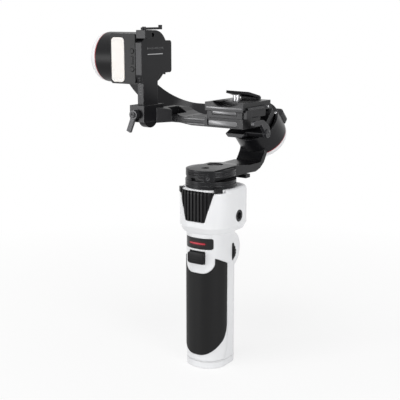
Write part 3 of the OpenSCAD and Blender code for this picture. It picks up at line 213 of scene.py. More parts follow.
def makeRubber(name, pitch, lift):
    surface = Surface(name, Specular_IOR_Level=rubberLook["sheen"])
    x, y, z = surface.axes()
    turns = 2 * math.pi / (pitch * mm)
    rows = ((x + y * rubberLook["slant"]) * turns).math("SINE") * (z * turns).math("SINE")
    tops = surface.ramp(rows, rubberLook["topFrom"], rubberLook["topTo"])
    fine = surface.noise(rubberLook["fineScale"], rubberLook["fineDetail"])
    patch = surface.noise(rubberLook["patchScale"], rubberLook["patchDetail"])
    colour = surface.tint(blend(rubberLook["colourShares"], (tops, fine, patch)), rubberLook["dark"],
                          rubberLook["light"])
    # edges painted lighter, partly as wear and partly as a painted highlight
    wornAndHighlitEdge = surface.edges(rubberLook["rounding"] * mm) * rubberLook["wornAndHighlitEdgeShare"]
    surface.feed("Base Color", surface.tint(wornAndHighlitEdge, colour, rubberLook["wornAndHighlitEdge"]))
    surface.feed("Roughness", surface.spread(blend(rubberLook["roughShares"], (fine, patch)),
                                             *rubberLook["rough"]))
    surface.bump(blend(rubberLook["heightShares"], (tops, fine)), rubberLook["strength"], lift * mm,
                 rubberLook["rounding"] * mm)
    return surface.material


# a milky window over rows of small lamps
diffuserLook = dict(pitch=1.6, roughness=0.42, milk=0.15, glow=0.02, reach=(3.0, 2.5, 2.0),
                    clouds=60.0, dark=(0.66, 0.63, 0.6), light=(0.7, 0.675, 0.645), strength=0.2, lift=0.1,
                    rounding=0.4)


def makeDiffuser():
    surface = Surface("lightDiffuser", Roughness=diffuserLook["roughness"],
                      Subsurface_Weight=diffuserLook["milk"], Emission_Strength=diffuserLook["glow"])
    surface.shader.inputs["Subsurface Radius"].default_value = [part * mm for part in diffuserLook["reach"]]
    across, depth, up = surface.axes()
    turns = 2 * math.pi / (diffuserLook["pitch"] * mm)
    cells = (across * turns).math("SINE") * (up * turns).math("SINE")
    warm = surface.tint(surface.noise(diffuserLook["clouds"]), diffuserLook["dark"], diffuserLook["light"])
    surface.feed("Base Color", warm)
    surface.feed("Emission Color", warm)
    surface.bump(cells, diffuserLook["strength"], diffuserLook["lift"] * mm, diffuserLook["rounding"] * mm)
    return surface.material


# the lit red line, brightest in its middle
glowLook = dict(roughness=0.3, strength=0.25, endShare=0.25, grain=900.0, dark=(0.25, 0.01, 0.02),
                light=(0.4, 0.015, 0.03), dim=(0.12, 0.002, 0.008), lit=(0.8, 0.03, 0.07))


def makeStatusGlow():
    low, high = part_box("status_light")
    middle, half = (low[0] + high[0]) / 2, (high[0] - low[0]) / 2
    surface = Surface("statusGlow", Roughness=glowLook["roughness"], Emission_Strength=glowLook["strength"])
    across, depth, up = surface.axes()
    falloff = surface.ramp((across - middle).math("ABSOLUTE"), 0.0, half, 1.0, glowLook["endShare"])
    grain = surface.noise(glowLook["grain"])
    surface.feed("Base Color", surface.tint(grain, glowLook["dark"], glowLook["light"]))
    surface.feed("Emission Color", surface.tint(falloff, glowLook["dim"], glowLook["lit"]))
    return surface.material


# gloss black, with a painted pool of dull red light round its line of light, where that light would fall on
# the panel
panelLook = dict(coat=0.1, sheen=0.25, paintedGlowHeight=(0.4, 2.6), paintedGlowWidth=(4, 10), paintedGlow=0.8, clouds=40.0,
                 dark=(0.004, 0.004, 0.0045), light=(0.009, 0.009, 0.01), red=(0.09, 0.004, 0.008),
                 rough=(0.16, 0.26), roughGrain=500.0, grain=1800.0, strength=0.3, lift=0.01, rounding=0.6)


def makeStatusPanel():
    low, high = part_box("status_light")
    middle, height = (low[0] + high[0]) / 2, (low[2] + high[2]) / 2
    surface = Surface("statusPanel", Coat_Weight=panelLook["coat"], Specular_IOR_Level=panelLook["sheen"])
    across, depth, up = surface.axes()

    def fading(value, reach):
        return surface.ramp(value.math("ABSOLUTE"), reach[0] * mm, reach[1] * mm, 1.0, 0.0)

    # painted light: red tint near the lit line, standing in for its glow on the panel
    near = fading(up - height, panelLook["paintedGlowHeight"]) * fading(across - middle, panelLook["paintedGlowWidth"])
    plain = surface.tint(surface.noise(panelLook["clouds"]), panelLook["dark"], panelLook["light"])
    surface.feed("Base Color", surface.tint(near * panelLook["paintedGlow"], plain, panelLook["red"]))
    surface.feed("Roughness", surface.spread(surface.noise(panelLook["roughGrain"]), *panelLook["rough"]))
    surface.bump(surface.noise(panelLook["grain"]), panelLook["strength"], panelLook["lift"] * mm,
                 panelLook["rounding"] * mm)
    return surface.material


finish = {name: makeFinish(name, **values) for name, values in finishes.items()}
finish["gripRubber"] = makeRubber("gripRubber", pitch=1.5, lift=0.12)
finish["fineRubber"] = makeRubber("fineRubber", pitch=0.7, lift=0.05)
finish["lightDiffuser"] = makeDiffuser()
finish["statusGlow"] = makeStatusGlow()
finish["statusPanel"] = makeStatusPanel()
print("finishes made:", len(finish))

# which finish each CAD node shows
dressing = {
    "whiteShell": ["handle_shell", "base_cap", "upper_housing", "roll_back_cover", "tilt_end_cover"],
    "gripRubber": ["grip"],
    "fineRubber": ["control_wheel"],
    "satinBlack": ["rear_panel", "trigger", "joystick", "power_button", "mode_button", "front_grille",
                   "pan_lock_latch", "roll_lock_latch", "tilt_case", "light_button_up", "light_button_down",
                   "light_indicator", "lens_stop"],
    "blackAlloy": ["pan_rotor", "pan_arm", "roll_case", "roll_rotor", "roll_arm", "tilt_rotor", "tilt_plate",
                   "tilt_lock_block", "platform_clamp", "platform_arm", "qr_base", "qr_plate",
                   "pan_slide_lever", "tilt_lock_lever", "side_insert"],
    "greyAlloy": ["roll_slide_lever", "clamp_lever", "qr_lever"],
    "brightSteel": ["trigger_pin", "wheel_axle", "pan_bearing", "roll_bearing", "tilt_bearing",
                    "pan_magnet_ring", "roll_magnet_ring", "tilt_magnet_ring", "camera_screw"],
    "brassTurned": ["tripod_insert"],
    "copperWire": ["pan_stator", "roll_stator", "tilt_stator"],
    "redTrim": ["record_button", "roll_red_ring", "tilt_red_ring"],
    "statusGlow": ["status_light"],
    "statusPanel": ["status_panel"],
    "lightDiffuser": ["light_panel"],
    "boardGreen": ["main_board"],
    "cellWrap": ["battery_cell"],
}
for finishName, members in dressing.items():
    for name in members:
        nodes[name].data.materials.clear()
        nodes[name].data.materials.append(finish[finishName])
print("CAD nodes dressed")

# how closely a face or an edge has to follow a direction to be picked
aligned = 0.9


def alone(piece):
    # object mode, with only this piece selected
    bpy.ops.object.select_all(action="DESELECT")
    piece.select_set(True)
    bpy.context.view_layer.objects.active = piece


def begin(name, primitive, **size):
    # a primitive at its size and place, with both in its mesh
    bpy.ops.object.select_all(action="DESELECT")
    primitive(**size)
    piece = bpy.context.object
    piece.name = name
    bpy.ops.object.transform_apply(location=True, rotation=True, scale=True)
    return piece


def done():
    bpy.ops.object.mode_set(mode="OBJECT")


def pick(piece, test=None):
    # edit mode with the faces chosen whose centre and normal pass the test, or with all of them
    alone(piece)
    bpy.ops.object.mode_set(mode="EDIT")
    bpy.ops.mesh.select_mode(type="FACE")
    bpy.ops.mesh.select_all(action="DESELECT")
    done()
    for face in piece.data.polygons:
        face.select = test is None or bool(test(face.center, face.normal))
    bpy.ops.object.mode_set(mode="EDIT")


def pickEdges(piece, test):
    # edit mode with the edges chosen whose two ends pass the test
    alone(piece)
    bpy.ops.object.mode_set(mode="EDIT")
    bpy.ops.mesh.select_mode(type="EDGE")
    bpy.ops.mesh.select_all(action="DESELECT")
    done()
    for edge in piece.data.edges:
        edge.select = bool(test(*(piece.data.vertices[i].co for i in edge.vertices)))
    bpy.ops.object.mode_set(mode="EDIT")


def roundCorners(piece, axis, radius, steps):
    # rounds the edges that run along an axis
    pickEdges(piece, lambda start, end: abs((end - start).normalized().dot(Vector(axis))) > aligned)
    bpy.ops.mesh.bevel(offset=radius, segments=steps)
    done()


def modify(piece, kind, **settings):
    alone(piece)
    change = piece.modifiers.new(kind, kind)
    for key, value in settings.items():
        setattr(change, key, value)
    bpy.ops.object.modifier_apply(modifier=change.name)


def soften(piece, width, segments=2, angle=40):
    modify(piece, "BEVEL", width=width, segments=segments, limit_method="ANGLE",
           angle_limit=math.radians(angle))


def discard(piece):
    bpy.data.objects.remove(piece)


def cutWith(piece, tool, operation):
    modify(piece, "BOOLEAN", object=tool, operation=operation, solver="EXACT")
    discard(tool)


def seat(piece, place, axis, size=1.0):
    # turns the piece's own upward axis onto an outward axis at a place, in its mesh
    turn = Vector(axis).to_track_quat("Z", "Y").to_matrix().to_4x4()
    piece.matrix_world = Matrix.Translation(place) @ turn @ Matrix.Scale(size, 4)
    alone(piece)
    bpy.ops.object.transform_apply(location=True, rotation=True, scale=True)


def twin(piece, name):
    copy = piece.copy()
    copy.data = piece.data.copy()
    copy.name = name
    scene.collection.objects.link(copy)
    return copy


def join(name, members):
    # one object from several
    bpy.ops.object.select_all(action="DESELECT")
    for member in members:
        member.select_set(True)
    bpy.context.view_layer.objects.active = members[0]
    bpy.ops.object.join()
    members[0].name = name
    return members[0]


def boxOf(nodeName):
    # lowest corner, highest corner and middle of a CAD node
    low, high = (Vector(corner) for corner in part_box(nodeName))
    return low, high, (low + high) / 2


def surfaceOf(nodeName, aim, axis, reach=40 * mm):
    # the point where a line that comes in along an outward axis meets a CAD node
    axis = Vector(axis).normalized()
    hit, place, normal, face = nodes[nodeName].ray_cast(Vector(aim) + axis * reach, -axis)
    if not hit:
        raise ValueError("nothing of " + nodeName + " lies under the aim")
    return place


def hand(piece, finishName, body, angle=35):
    # shades the finished piece, gives it its material and sets it on its body
    alone(piece)
    bpy.ops.object.shade_smooth_by_angle(angle=math.radians(angle))
    piece.data.materials.clear()
    piece.data.materials.append(finish[finishName])
    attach(piece, body)


# the rubber sleeve with its rounded corners, and the shell's own surface round it
grip = dict(edge=-2.6, frontLow=12.3, frontTop=105.4, lowSlope=0.92, topSlope=-0.3, lowRound=8.5,
            topRound=5.0, roundSteps=16, seam=0.12, seamSlant=1.4, toolWidth=60, toolTop=120, toolFront=20,
            nearCorner=0.3, weld=0.001, body="handle")
# the handle's outline from above, which the surround is trimmed to
column = dict(low=-10, high=130, corner=17, cornerSteps=32)


def makeOutlineTool(margin):
    # a bar across the handle with the sleeve's outline as seen from the side
    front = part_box("grip")[0][1] / mm
    yLow, yHigh = front - grip["toolFront"], grip["edge"] + margin
    tool = begin("outlineTool", bpy.ops.mesh.primitive_cube_add, size=1,
                 location=(0, (yLow + yHigh) / 2 * mm, grip["toolTop"] / 2 * mm),
                 scale=(grip["toolWidth"] * mm, (yHigh - yLow) * mm, grip["toolTop"] * mm))
    ends = ((grip["frontLow"] - margin * grip["seamSlant"], grip["lowSlope"], grip["lowRound"], -1),
            (grip["frontTop"] + margin, grip["topSlope"], grip["topRound"], 1))
    for height, slope, rounding, way in ends:
        pick(tool)
        bpy.ops.mesh.bisect(plane_co=(0, front * mm, height * mm), plane_no=Vector((0, -slope, 1)) * way,
                            use_fill=True, clear_outer=True)
        done()
    for height, slope, rounding, way in ends:
        corner = Vector((yHigh, height + slope * (yHigh - front))) * mm
        near = grip["nearCorner"] * mm
        pickEdges(tool, lambda start, end: max((tip.yz - corner).length for tip in (start, end)) < near)
        bpy.ops.mesh.bevel(offset=rounding * mm, segments=grip["roundSteps"])
        done()
    return tool


def copyOfGrip(name):
    # the CAD node's loose triangles are merged before the copy is cut
    copy = twin(nodes["grip"], name)
    pick(copy)
    bpy.ops.mesh.remove_doubles(threshold=grip["weld"] * mm)
    done()
    return copy


def makeColumn():
    low, high, middle = boxOf("base_cap")
    tool = begin("columnTool", bpy.ops.mesh.primitive_cube_add, size=1,
                 location=(0, 0, (column["low"] + column["high"]) / 2 * mm),
                 scale=(high.x - low.x, high.y - low.y, (column["high"] - column["low"]) * mm))
    roundCorners(tool, (0, 0, 1), column["corner"] * mm, column["cornerSteps"])
    return tool


def makeGrip():
    sleeve = copyOfGrip("gripSleeve")
    cutWith(sleeve, makeOutlineTool(0.0), "INTERSECT")
    hand(sleeve, "gripRubber", grip["body"])
    surround = copyOfGrip("gripSurround")
    cutWith(surround, makeOutlineTool(grip["seam"]), "DIFFERENCE")
    cutWith(surround, makeColumn(), "INTERSECT")
    hand(surround, "whiteShell", grip["body"])
    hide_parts("grip")


makeGrip()
print("grip sleeve made")


# the round cap of the pan motor, in layers, that carries the front of the lower arm
panCap = dict(radius=22.1, low=173.0, high=178.7, sides=96, grooveShares=(0.34, 0.62), groove=0.5,
              grooveDepth=0.6, edge=0.28, edgeAngle=50, body="pan_carriage")


def makePanCap():
    base, height = panCap["low"] * mm, (panCap["high"] - panCap["low"]) * mm
    cap = begin("panCap", bpy.ops.mesh.primitive_cylinder_add, vertices=panCap["sides"],
                radius=panCap["radius"] * mm, depth=height, location=(0, 0, base + height / 2))
    half = panCap["groove"] / 2 * mm
    for share in panCap["grooveShares"]:
        middle = base + height * share
        for level in (middle - half, middle + half):
            pick(cap)
            bpy.ops.mesh.bisect(plane_co=(0, 0, level), plane_no=(0, 0, 1))
            done()
        pick(cap, lambda centre, normal: abs(centre.z - middle) < half / 2 and abs(normal.z) < aligned)
        bpy.ops.mesh.extrude_region_shrink_fatten(
            TRANSFORM_OT_shrink_fatten={"value": -panCap["grooveDepth"] * mm})
        done()
    soften(cap, panCap["edge"] * mm, angle=panCap["edgeAngle"])
    hand(cap, "blackAlloy", panCap["body"])


makePanCap()
print("pan cap made")


# pale brushed slabs on the platform's three layers: their lighter colour is a painted highlight on front
# faces that catch the light
bars = {
    "plateBar": dict(node="qr_plate", low=(-18.6, 228.2), high=(18.6, 230.0), round=0.6, body="quick_plate"),
    "dovetailBar": dict(node="qr_plate", low=(-12.4, 223.8), high=(12.4, 226.2), round=0.6,
                        body="quick_plate"),
    "armBar": dict(node="platform_arm", low=(-16.8, 213.0), high=(13.0, 217.6), round=1.4, body="platform"),
    "railHigh": dict(node="platform_arm", low=(-43.0, 217.1), high=(-20.0, 218.1), round=0.3,
                     body="platform"),
    "railLow": dict(node="platform_arm", low=(-40.0, 212.7), high=(-20.0, 213.5), round=0.3,
                    body="platform"),
}
barLook = dict(thick=0.6, roundSteps=6, edge=0.15, reach=60)
towardsFront = (0, -1, 0)
for name, bar in bars.items():
    spans = list(zip(bar["low"], bar["high"]))
    x, z = ((start + end) / 2 * mm for start, end in spans)
    width, height = ((end - start) * mm for start, end in spans)
    place = surfaceOf(bar["node"], (x, 0, z), towardsFront, barLook["reach"] * mm)
    slab = begin(name, bpy.ops.mesh.primitive_cube_add, size=1, scale=(width, height, barLook["thick"] * mm))
    roundCorners(slab, (0, 0, 1), bar["round"] * mm, barLook["roundSteps"])
    soften(slab, barLook["edge"] * mm)
    seat(slab, place, towardsFront)
    hand(slab, "brushedHighlightFace", bar["body"])
print("front bars made:", len(bars))


# screw heads with a six-sided socket, seated on the node that each one holds
screws = {
    "discScrew": dict(node="pan_arm", aim=(10.2, -20, 172.6), axis=(0.46, -0.89, 0), radius=1.7,
                      finish="greyAlloy", slot="lever_alloy", body="pan_carriage"),
    "rollHubScrew": dict(node="roll_slide_lever", aim=(28, 44.9, 207.6), axis=(1, 0, 0), radius=2.5,
                         finish="greyAlloy", slot="lever_alloy", body="roll_lever"),
    "clampHubScrew": dict(node="clamp_lever", aim=(-72.5, -15, 222), axis=(0, -1, 0), radius=2.5,
                          finish="greyAlloy", slot="lever_alloy", body="platform_lever"),
    "quickHubScrew": dict(node="qr_lever", aim=(23, 57.5, 228.8), axis=(1, 0, 0), radius=1.0,
                          finish="brightSteel", slot="steel", body="quick_lever"),
    "tiltHubScrew": dict(node="tilt_lock_lever", aim=(-70, -3, 298), axis=(0, 0, 1), radius=1.8,
                         finish="greyAlloy", slot="lever_alloy", body="tilt_lever"),
    "armScrewLow": dict(node="roll_case", aim=(18.4, 80.6, 220.4), axis=(0, -1, 1), radius=1.3,
                        finish="brightSteel", slot="steel", body="pan_carriage"),
}
# the head that all of them share, as shares of its radius
headShares = dict(height=0.8, socket=0.52, socketRise=0.42, edge=0.12)
headSides = 28


def makeScrewHead():
    head = begin("screwHead", bpy.ops.mesh.primitive_cylinder_add, vertices=headSides, radius=1,
                 depth=headShares["height"])
    socket = begin("socketTool", bpy.ops.mesh.primitive_cylinder_add, vertices=6,
                   radius=headShares["socket"], depth=headShares["height"],
                   location=(0, 0, headShares["socketRise"]))
    cutWith(head, socket, "DIFFERENCE")
    soften(head, headShares["edge"])
    return head


screwHead = makeScrewHead()
for name, screw in screws.items():
    piece = twin(screwHead, name)
    place = surfaceOf(screw["node"], Vector(screw["aim"]) * mm, screw["axis"])
    seat(piece, place, screw["axis"], screw["radius"] * mm)
    hand(piece, screw["finish"], screw["body"])
discard(screwHead)
print("screws made:", len(screws))


# threads, each a fine helical ridge on a screw or in a bore
threads = {
    "cameraThread": dict(place=(0, 41, 234.6), axis=(0, 0, 1), radius=3.05, turns=3, ridge=0.28,
                         finish="brightSteel", slot="steel", body="screw_part"),
    "sideThread": dict(place=(18.6, 7.5, 137.5), axis=(1, 0, 0), radius=3.12, turns=4, ridge=0.22,
                       finish="blackAlloy", slot="black_alloy", body="handle"),
    "tripodThread": dict(place=(0, 0, 0.8), axis=(0, 0, 1), radius=3.12, turns=6, ridge=0.22,
                         finish="brassTurned", slot="brass", body="handle"),
}
threadLook = dict(pitch=1.27, sides=3, steps=40)
for name, thread in threads.items():
    ridge = begin(name, bpy.ops.mesh.primitive_circle_add, vertices=threadLook["sides"],
                  radius=thread["ridge"] * mm, location=(thread["radius"] * mm, 0, 0),
                  rotation=(math.pi / 2, 0, 0))
    modify(ridge, "SCREW", screw_offset=threadLook["pitch"] * mm, iterations=thread["turns"],
           steps=threadLook["steps"], render_steps=threadLook["steps"], axis="Z")
    pick(ridge)
    bpy.ops.mesh.fill_holes(sides=threadLook["sides"] + 1)
    bpy.ops.mesh.select_all(action="SELECT")
    bpy.ops.mesh.normals_make_consistent(inside=False)
    done()
    seat(ridge, Vector(thread["place"]) * mm, thread["axis"])
    hand(ridge, thread["finish"], thread["body"])
print("threads made:", len(threads))


# rubber strips with cross ribs, where a camera's base rests on the quick release plate
pads = dict(inner=8.2, outer=17.2, front=28.2, thick=0.2, sunk=0.05, rim=0.3, raised=0.1, pitch=2.3, ribs=7,
            ribWidth=1.1, ribHeight=0.4, ribInset=0.6, ribEdge=0.15, body="quick_plate")


def makePad(label, side):
    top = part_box("qr_plate")[1][2]
    width, length = (pads["outer"] - pads["inner"]) * mm, pads["pitch"] * pads["ribs"] * mm
    middle, front = side * (pads["inner"] + pads["outer"]) / 2 * mm, pads["front"] * mm
    strip = begin(label, bpy.ops.mesh.primitive_cube_add, size=1,
                  location=(middle, front + length / 2, top + (pads["thick"] / 2 - pads["sunk"]) * mm),
                  scale=(width, length, pads["thick"] * mm))
    pick(strip, lambda centre, normal: normal.z > aligned)
    bpy.ops.mesh.inset(thickness=pads["rim"] * mm)
    bpy.ops.mesh.extrude_region_move(TRANSFORM_OT_translate={"value": (0, 0, pads["raised"] * mm)})
    done()
    rib = begin("rib", bpy.ops.mesh.primitive_cube_add, size=1,
                location=(middle, front + pads["pitch"] / 2 * mm, top + pads["ribHeight"] / 2 * mm),
                scale=(width - 2 * pads["ribInset"] * mm, pads["ribWidth"] * mm, pads["ribHeight"] * mm))
    soften(rib, pads["ribEdge"] * mm)
    modify(rib, "ARRAY", count=pads["ribs"], use_relative_offset=False, use_constant_offset=True,
           constant_offset_displace=(0, pads["pitch"] * mm, 0))
    hand(join(label, [strip, rib]), "fineRubber", pads["body"])


makePad("padLeft", -1)
makePad("padRight", 1)
print("camera pads made")


# fine ribs round the edge of the control wheel
wheelRibs = dict(count=54, ribRadius=0.32, ribSides=8, proud=0.1, margin=0.35, edge=0.1, body="wheel_part")


def makeWheelRibs():
    low, high, middle = boxOf("control_wheel")
    reach = (high.x - low.x) / 2 + (wheelRibs["proud"] - wheelRibs["ribRadius"]) * mm
    first = begin("wheelRib", bpy.ops.mesh.primitive_cylinder_add, vertices=wheelRibs["ribSides"],
                  radius=wheelRibs["ribRadius"] * mm, depth=high.y - low.y - 2 * wheelRibs["margin"] * mm)
    soften(first, wheelRibs["edge"] * mm, 1)
    members = []
    for i in range(wheelRibs["count"]):
        angle = 2 * math.pi * i / wheelRibs["count"]
        member = twin(first, "wheelRib")
        seat(member, middle + Vector((math.cos(angle), 0, math.sin(angle))) * reach, (0, 1, 0))
        members.append(member)
    discard(first)
    hand(join("wheelRibs", members), "fineRubber", wheelRibs["body"])


makeWheelRibs()
print("wheel ribs made")


# the trigger's rounded front, with low ridges across it where the finger pulls
triggerPad = dict(width=17.2, height=10.4, thick=1.5, proud=1.5, shift=0.6, round=2.6, roundSteps=8, edge=0.6,
                  edgeSteps=4, smooth=50, body="trigger_part")
triggerRidges = dict(shares=(0.3, 0.5, 0.7), length=9.5, radius=0.35, sides=16, sunk=0.2, end=0.3, endSteps=3,
                     body="trigger_part")


def makeTriggerPad():
    low, high, middle = boxOf("trigger")
    centre = Vector((triggerPad["shift"] * mm,
                     low.y - (triggerPad["proud"] - triggerPad["thick"] / 2) * mm, middle.z))
    size = Vector((triggerPad["width"], triggerPad["thick"], triggerPad["height"])) * mm
    pad = begin("triggerPad", bpy.ops.mesh.primitive_cube_add, size=1, location=centre, scale=size)
    roundCorners(pad, (0, 1, 0), triggerPad["round"] * mm, triggerPad["roundSteps"])
    soften(pad, triggerPad["edge"] * mm, triggerPad["edgeSteps"])
    hand(pad, "satinBlack", triggerPad["body"], triggerPad["smooth"])


def makeTriggerRidges():
    low, high, middle = boxOf("trigger")
    front = low.y + (triggerRidges["sunk"] - triggerPad["proud"]) * mm
    members = []
    for share in triggerRidges["shares"]:
        ridge = begin("ridge", bpy.ops.mesh.primitive_cylinder_add, vertices=triggerRidges["sides"],
                      radius=triggerRidges["radius"] * mm, depth=triggerRidges["length"] * mm)
        soften(ridge, triggerRidges["end"] * mm, triggerRidges["endSteps"])
        place = (triggerPad["shift"] * mm, front, low.z + (high.z - low.z) * share)
        seat(ridge, place, (1, 0, 0))
        members.append(ridge)
    hand(join("triggerRidges", members), "satinBlack", triggerRidges["body"])


makeTriggerPad()
makeTriggerRidges()
print("trigger pad and ridges made")


# dished caps on the thumb controls at the back
caps = {
    "stickDish": dict(node="joystick", radius=3.1, rim=0.7, dip=0.25, height=0.7, finish="fineRubber",
                      slot="grip_rubber", body="joystick_part"),
    "recordDish": dict(node="record_button", radius=2.4, rim=0.5, dip=0.15, height=0.4, finish="redTrim",
                       slot="red_trim", body="record_part"),
    "powerDish": dict(node="power_button", radius=1.3, rim=0.3, dip=0.1, height=0.3, finish="satinBlack",
                      slot="black_plastic", body="power_part"),
    "modeDish": dict(node="mode_button", radius=1.3, rim=0.3, dip=0.1, height=0.3, finish="satinBlack",
                     slot="black_plastic", body="mode_part"),
}
capLook = dict(sides=40, edge=0.12, edgeAngle=30)
towardsBack = (0, 1, 0)
for name, cap in caps.items():
    place = surfaceOf(cap["node"], boxOf(cap["node"])[2], towardsBack)
    dish = begin(name, bpy.ops.mesh.primitive_cylinder_add, vertices=capLook["sides"],
                 radius=cap["radius"] * mm, depth=cap["height"] * mm)
    pick(dish, lambda centre, normal: normal.z > aligned)
    bpy.ops.mesh.inset(thickness=cap["rim"] * mm)
    bpy.ops.mesh.inset(thickness=cap["rim"] * mm, depth=-cap["dip"] * mm)
    done()
    soften(dish, capLook["edge"] * mm, angle=capLook["edgeAngle"])
    seat(dish, place, towardsBack)
    hand(dish, cap["finish"], cap["body"])
print("thumb controls dished:", len(caps))


# rows of scale ticks, with no numbers, on the tilt plate and its stem
scales = {
    "plateScale": dict(start=(-68.5, 0, 280.2), step=(0, 1.9, 0), count=13, axis=(1, 0, 0),
                       size=(0.22, 1.5, 0.12)),
    "stemScale": dict(start=(-71.8, -9, 239.8), step=(0, 0, 2.4), count=7, axis=(0, -1, 0),
                      size=(1.4, 0.2, 0.7)),
}
tickLook = dict(every=4, longer=1.25, edge=0.03, body="tilt_turn")
for name, row in scales.items():
    members = []
    for i in range(row["count"]):
        place = surfaceOf("tilt_plate", (Vector(row["start"]) + Vector(row["step"]) * i) * mm, row["axis"])
        size = Vector(row["size"]) * (1.0 if i % tickLook["every"] else tickLook["longer"])
        tick = begin("tick", bpy.ops.mesh.primitive_cube_add, size=1, scale=size * mm)
        soften(tick, tickLook["edge"] * mm, 1)
        seat(tick, place, row["axis"])
        members.append(tick)
    hand(join(name, members), "paleMark", tickLook["body"])
print("scales made:", len(scales))


# a bright steel rod along the lower lip of the slot in the tilt plate, a painted highlight where the lit lip
# shows
slotLipHighlight = dict(front=0.2, back=22.8, height=274.9, radius=0.55, sides=16, sunk=0.35, end=0.3, endSteps=3,
               body="tilt_turn")


def makeSlotLipHighlight():
    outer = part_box("tilt_plate")[1][0]
    lip = begin("slotLipHighlight", bpy.ops.mesh.primitive_cylinder_add, vertices=slotLipHighlight["sides"],
                radius=slotLipHighlight["radius"] * mm, depth=(slotLipHighlight["back"] - slotLipHighlight["front"]) * mm)
    soften(lip, slotLipHighlight["end"] * mm, slotLipHighlight["endSteps"])
    middle = (slotLipHighlight["front"] + slotLipHighlight["back"]) / 2 * mm
    seat(lip, (outer - slotLipHighlight["sunk"] * mm, middle, slotLipHighlight["height"] * mm), (0, 1, 0))
    hand(lip, "brightSteel", slotLipHighlight["body"])


makeSlotLipHighlight()
print("slot lip made")


# a soft door over the charging port, on the side away from the wheel, with a bar to pull it by
portDoor = dict(middle=(3.2, 72.0), size=(7.0, 14.0), thick=0.5, proud=0.25, round=1.8, roundSteps=6,
                edge=0.12, body="handle")
portTab = dict(length=3.6, radius=0.45, sides=16, heightShare=0.36, edge=0.2)


def makePortDoor():
    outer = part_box("handle_shell")[0][0]
    y, z = portDoor["middle"]
    width, height = (value * mm for value in portDoor["size"])
    door = begin("portDoor", bpy.ops.mesh.primitive_cube_add, size=1,
                 scale=(width, height, portDoor["thick"] * mm))
    roundCorners(door, (0, 0, 1), portDoor["round"] * mm, portDoor["roundSteps"])
    soften(door, portDoor["edge"] * mm)
    tab = begin("tab", bpy.ops.mesh.primitive_cylinder_add, vertices=portTab["sides"],
                radius=portTab["radius"] * mm, depth=portTab["length"] * mm,
                location=(0, height * portTab["heightShare"], portDoor["thick"] / 2 * mm),
                rotation=(0, math.pi / 2, 0))
    soften(tab, portTab["edge"] * mm)
    door = join("portDoor", [door, tab])
    depth = (portDoor["thick"] / 2 - portDoor["proud"]) * mm
    seat(door, (outer + depth, y * mm, z * mm), (-1, 0, 0))
    hand(door, "whiteShell", portDoor["body"])


makePortDoor()
print("port door made")

# camera, worked out from the photograph's perspective, with its distance in metres
view = dict(azimuth=34.4, pitch=12.2, focalPixels=858.0, originPixel=(210.4, 359.0), distance=0.79, frame=400,
            sensor=36.0, clipStart=0.01)
turn, dip = math.radians(view["azimuth"]), math.radians(view["pitch"])
right = Vector((math.cos(turn), math.sin(turn), 0))
ahead = Vector((-math.sin(turn) * math.cos(dip), math.cos(turn) * math.cos(dip), -math.sin(dip)))
above = right.cross(ahead)
half = view["frame"] / 2
pixelSize = view["distance"] / view["focalPixels"]
shiftRight = (view["originPixel"][0] - half) * pixelSize
shiftUp = (half - view["originPixel"][1]) * pixelSize
cameraData = bpy.data.cameras.new("camera")
cameraData.sensor_width = view["sensor"]
cameraData.lens = view["focalPixels"] / view["frame"] * view["sensor"]
cameraData.clip_start = view["clipStart"]
camera = bpy.data.objects.new("camera", cameraData)
scene.collection.objects.link(camera)
camera.rotation_euler = ahead.to_track_quat("-Z", "Y").to_euler()
camera.location = -(right * shiftRight + above * shiftUp + ahead * view["distance"])
scene.camera = camera

# soft studio light, in metres: a bright box at the front left, low enough to shine in upright faces, one
# overhead and a broad fill at the right
lamps = {
    "frontBox": dict(place=(-0.72, -1.0, 0.16), size=(0.24, 0.55), power=7.5),
    "topBox": dict(place=(-0.1, -0.35, 1.2), size=(0.6, 0.6), power=6.5),
    "sideBox": dict(place=(1.1, -0.45, 0.35), size=(0.5, 0.7), power=8.0),
}
aimPoint = Vector((-0.03, 0.02, 0.17))
for name, lamp in lamps.items():
    data = bpy.data.lights.new(name, "AREA")
    data.shape = "RECTANGLE"
    data.size, data.size_y = lamp["size"]
    data.energy = lamp["power"]
    box = bpy.data.objects.new(name, data)
    scene.collection.objects.link(box)
    box.location = lamp["place"]
    box.rotation_euler = (aimPoint - box.location).to_track_quat("-Z", "Y").to_euler()


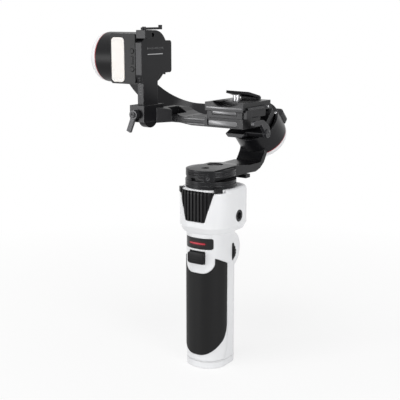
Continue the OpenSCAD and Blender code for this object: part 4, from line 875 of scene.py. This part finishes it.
def seenShare(tree):
    # 1 for rays that show the background: straight, mirrored or through glass, and 0 for the rest
    rays = tree.nodes.new("ShaderNodeLightPath")
    total = rays.outputs["Is Camera Ray"]
    for name in ("Is Glossy Ray", "Is Transmission Ray"):
        plus = tree.nodes.new("ShaderNodeMath")
        plus.operation = "ADD"
        plus.use_clamp = True
        tree.links.new(total, plus.inputs[0])
        tree.links.new(rays.outputs[name], plus.inputs[1])
        total = plus.outputs[0]
    return total


# white studio: what is seen is white, what lights the object is weaker
ambient = 0.34
world = bpy.data.worlds.new("studio")
scene.world = world
world.use_nodes = True
background = world.node_tree.nodes["Background"]
level = world.node_tree.nodes.new("ShaderNodeMath")
level.operation = "MULTIPLY_ADD"
level.inputs[1].default_value = 1 - ambient
level.inputs[2].default_value = ambient
world.node_tree.links.new(seenShare(world.node_tree), level.inputs[0])
world.node_tree.links.new(level.outputs[0], background.inputs["Strength"])
background.inputs["Color"].default_value = (1, 1, 1, 1)

# plain pale floor, in metres: real shading under the object, fading to plain white away from it
floorLook = dict(width=8.0, below=0.0004, shadeEnd=0.12, whiteStart=0.55, nearShare=0.8, roughness=0.9,
                 clouds=6.0, dark=(0.84, 0.84, 0.84), light=(0.88, 0.88, 0.88))
bpy.ops.object.select_all(action="DESELECT")
bpy.ops.mesh.primitive_plane_add(size=floorLook["width"], location=(0, 0, -floorLook["below"]))
floor = bpy.context.object
floor.name = "floor"
pale = Surface("paleFloor", Roughness=floorLook["roughness"])
pale.feed("Base Color", pale.tint(pale.noise(floorLook["clouds"]), floorLook["dark"], floorLook["light"]))
away = pale.add("ShaderNodeVectorMath", {"operation": "LENGTH"}, {0: pale.place()}, out="Value")
plainShare = pale.ramp(away, floorLook["shadeEnd"], floorLook["whiteStart"], floorLook["nearShare"], 1.0)
glow = pale.add("ShaderNodeEmission", None, {"Color": (1, 1, 1, 1), "Strength": 1.0})
seen = Sock(pale, seenShare(pale.nodeTree))
shaded = Sock(pale, pale.shader.outputs[0])
mixed = pale.add("ShaderNodeMixShader", None, {0: seen * plainShare, 1: shaded, 2: glow})
pale.nodeTree.links.new(mixed.socket, pale.nodeTree.nodes["Material Output"].inputs["Surface"])
floor.data.materials.append(pale.material)

scene.view_settings.view_transform = "Standard"
print("camera, lamps and floor set")
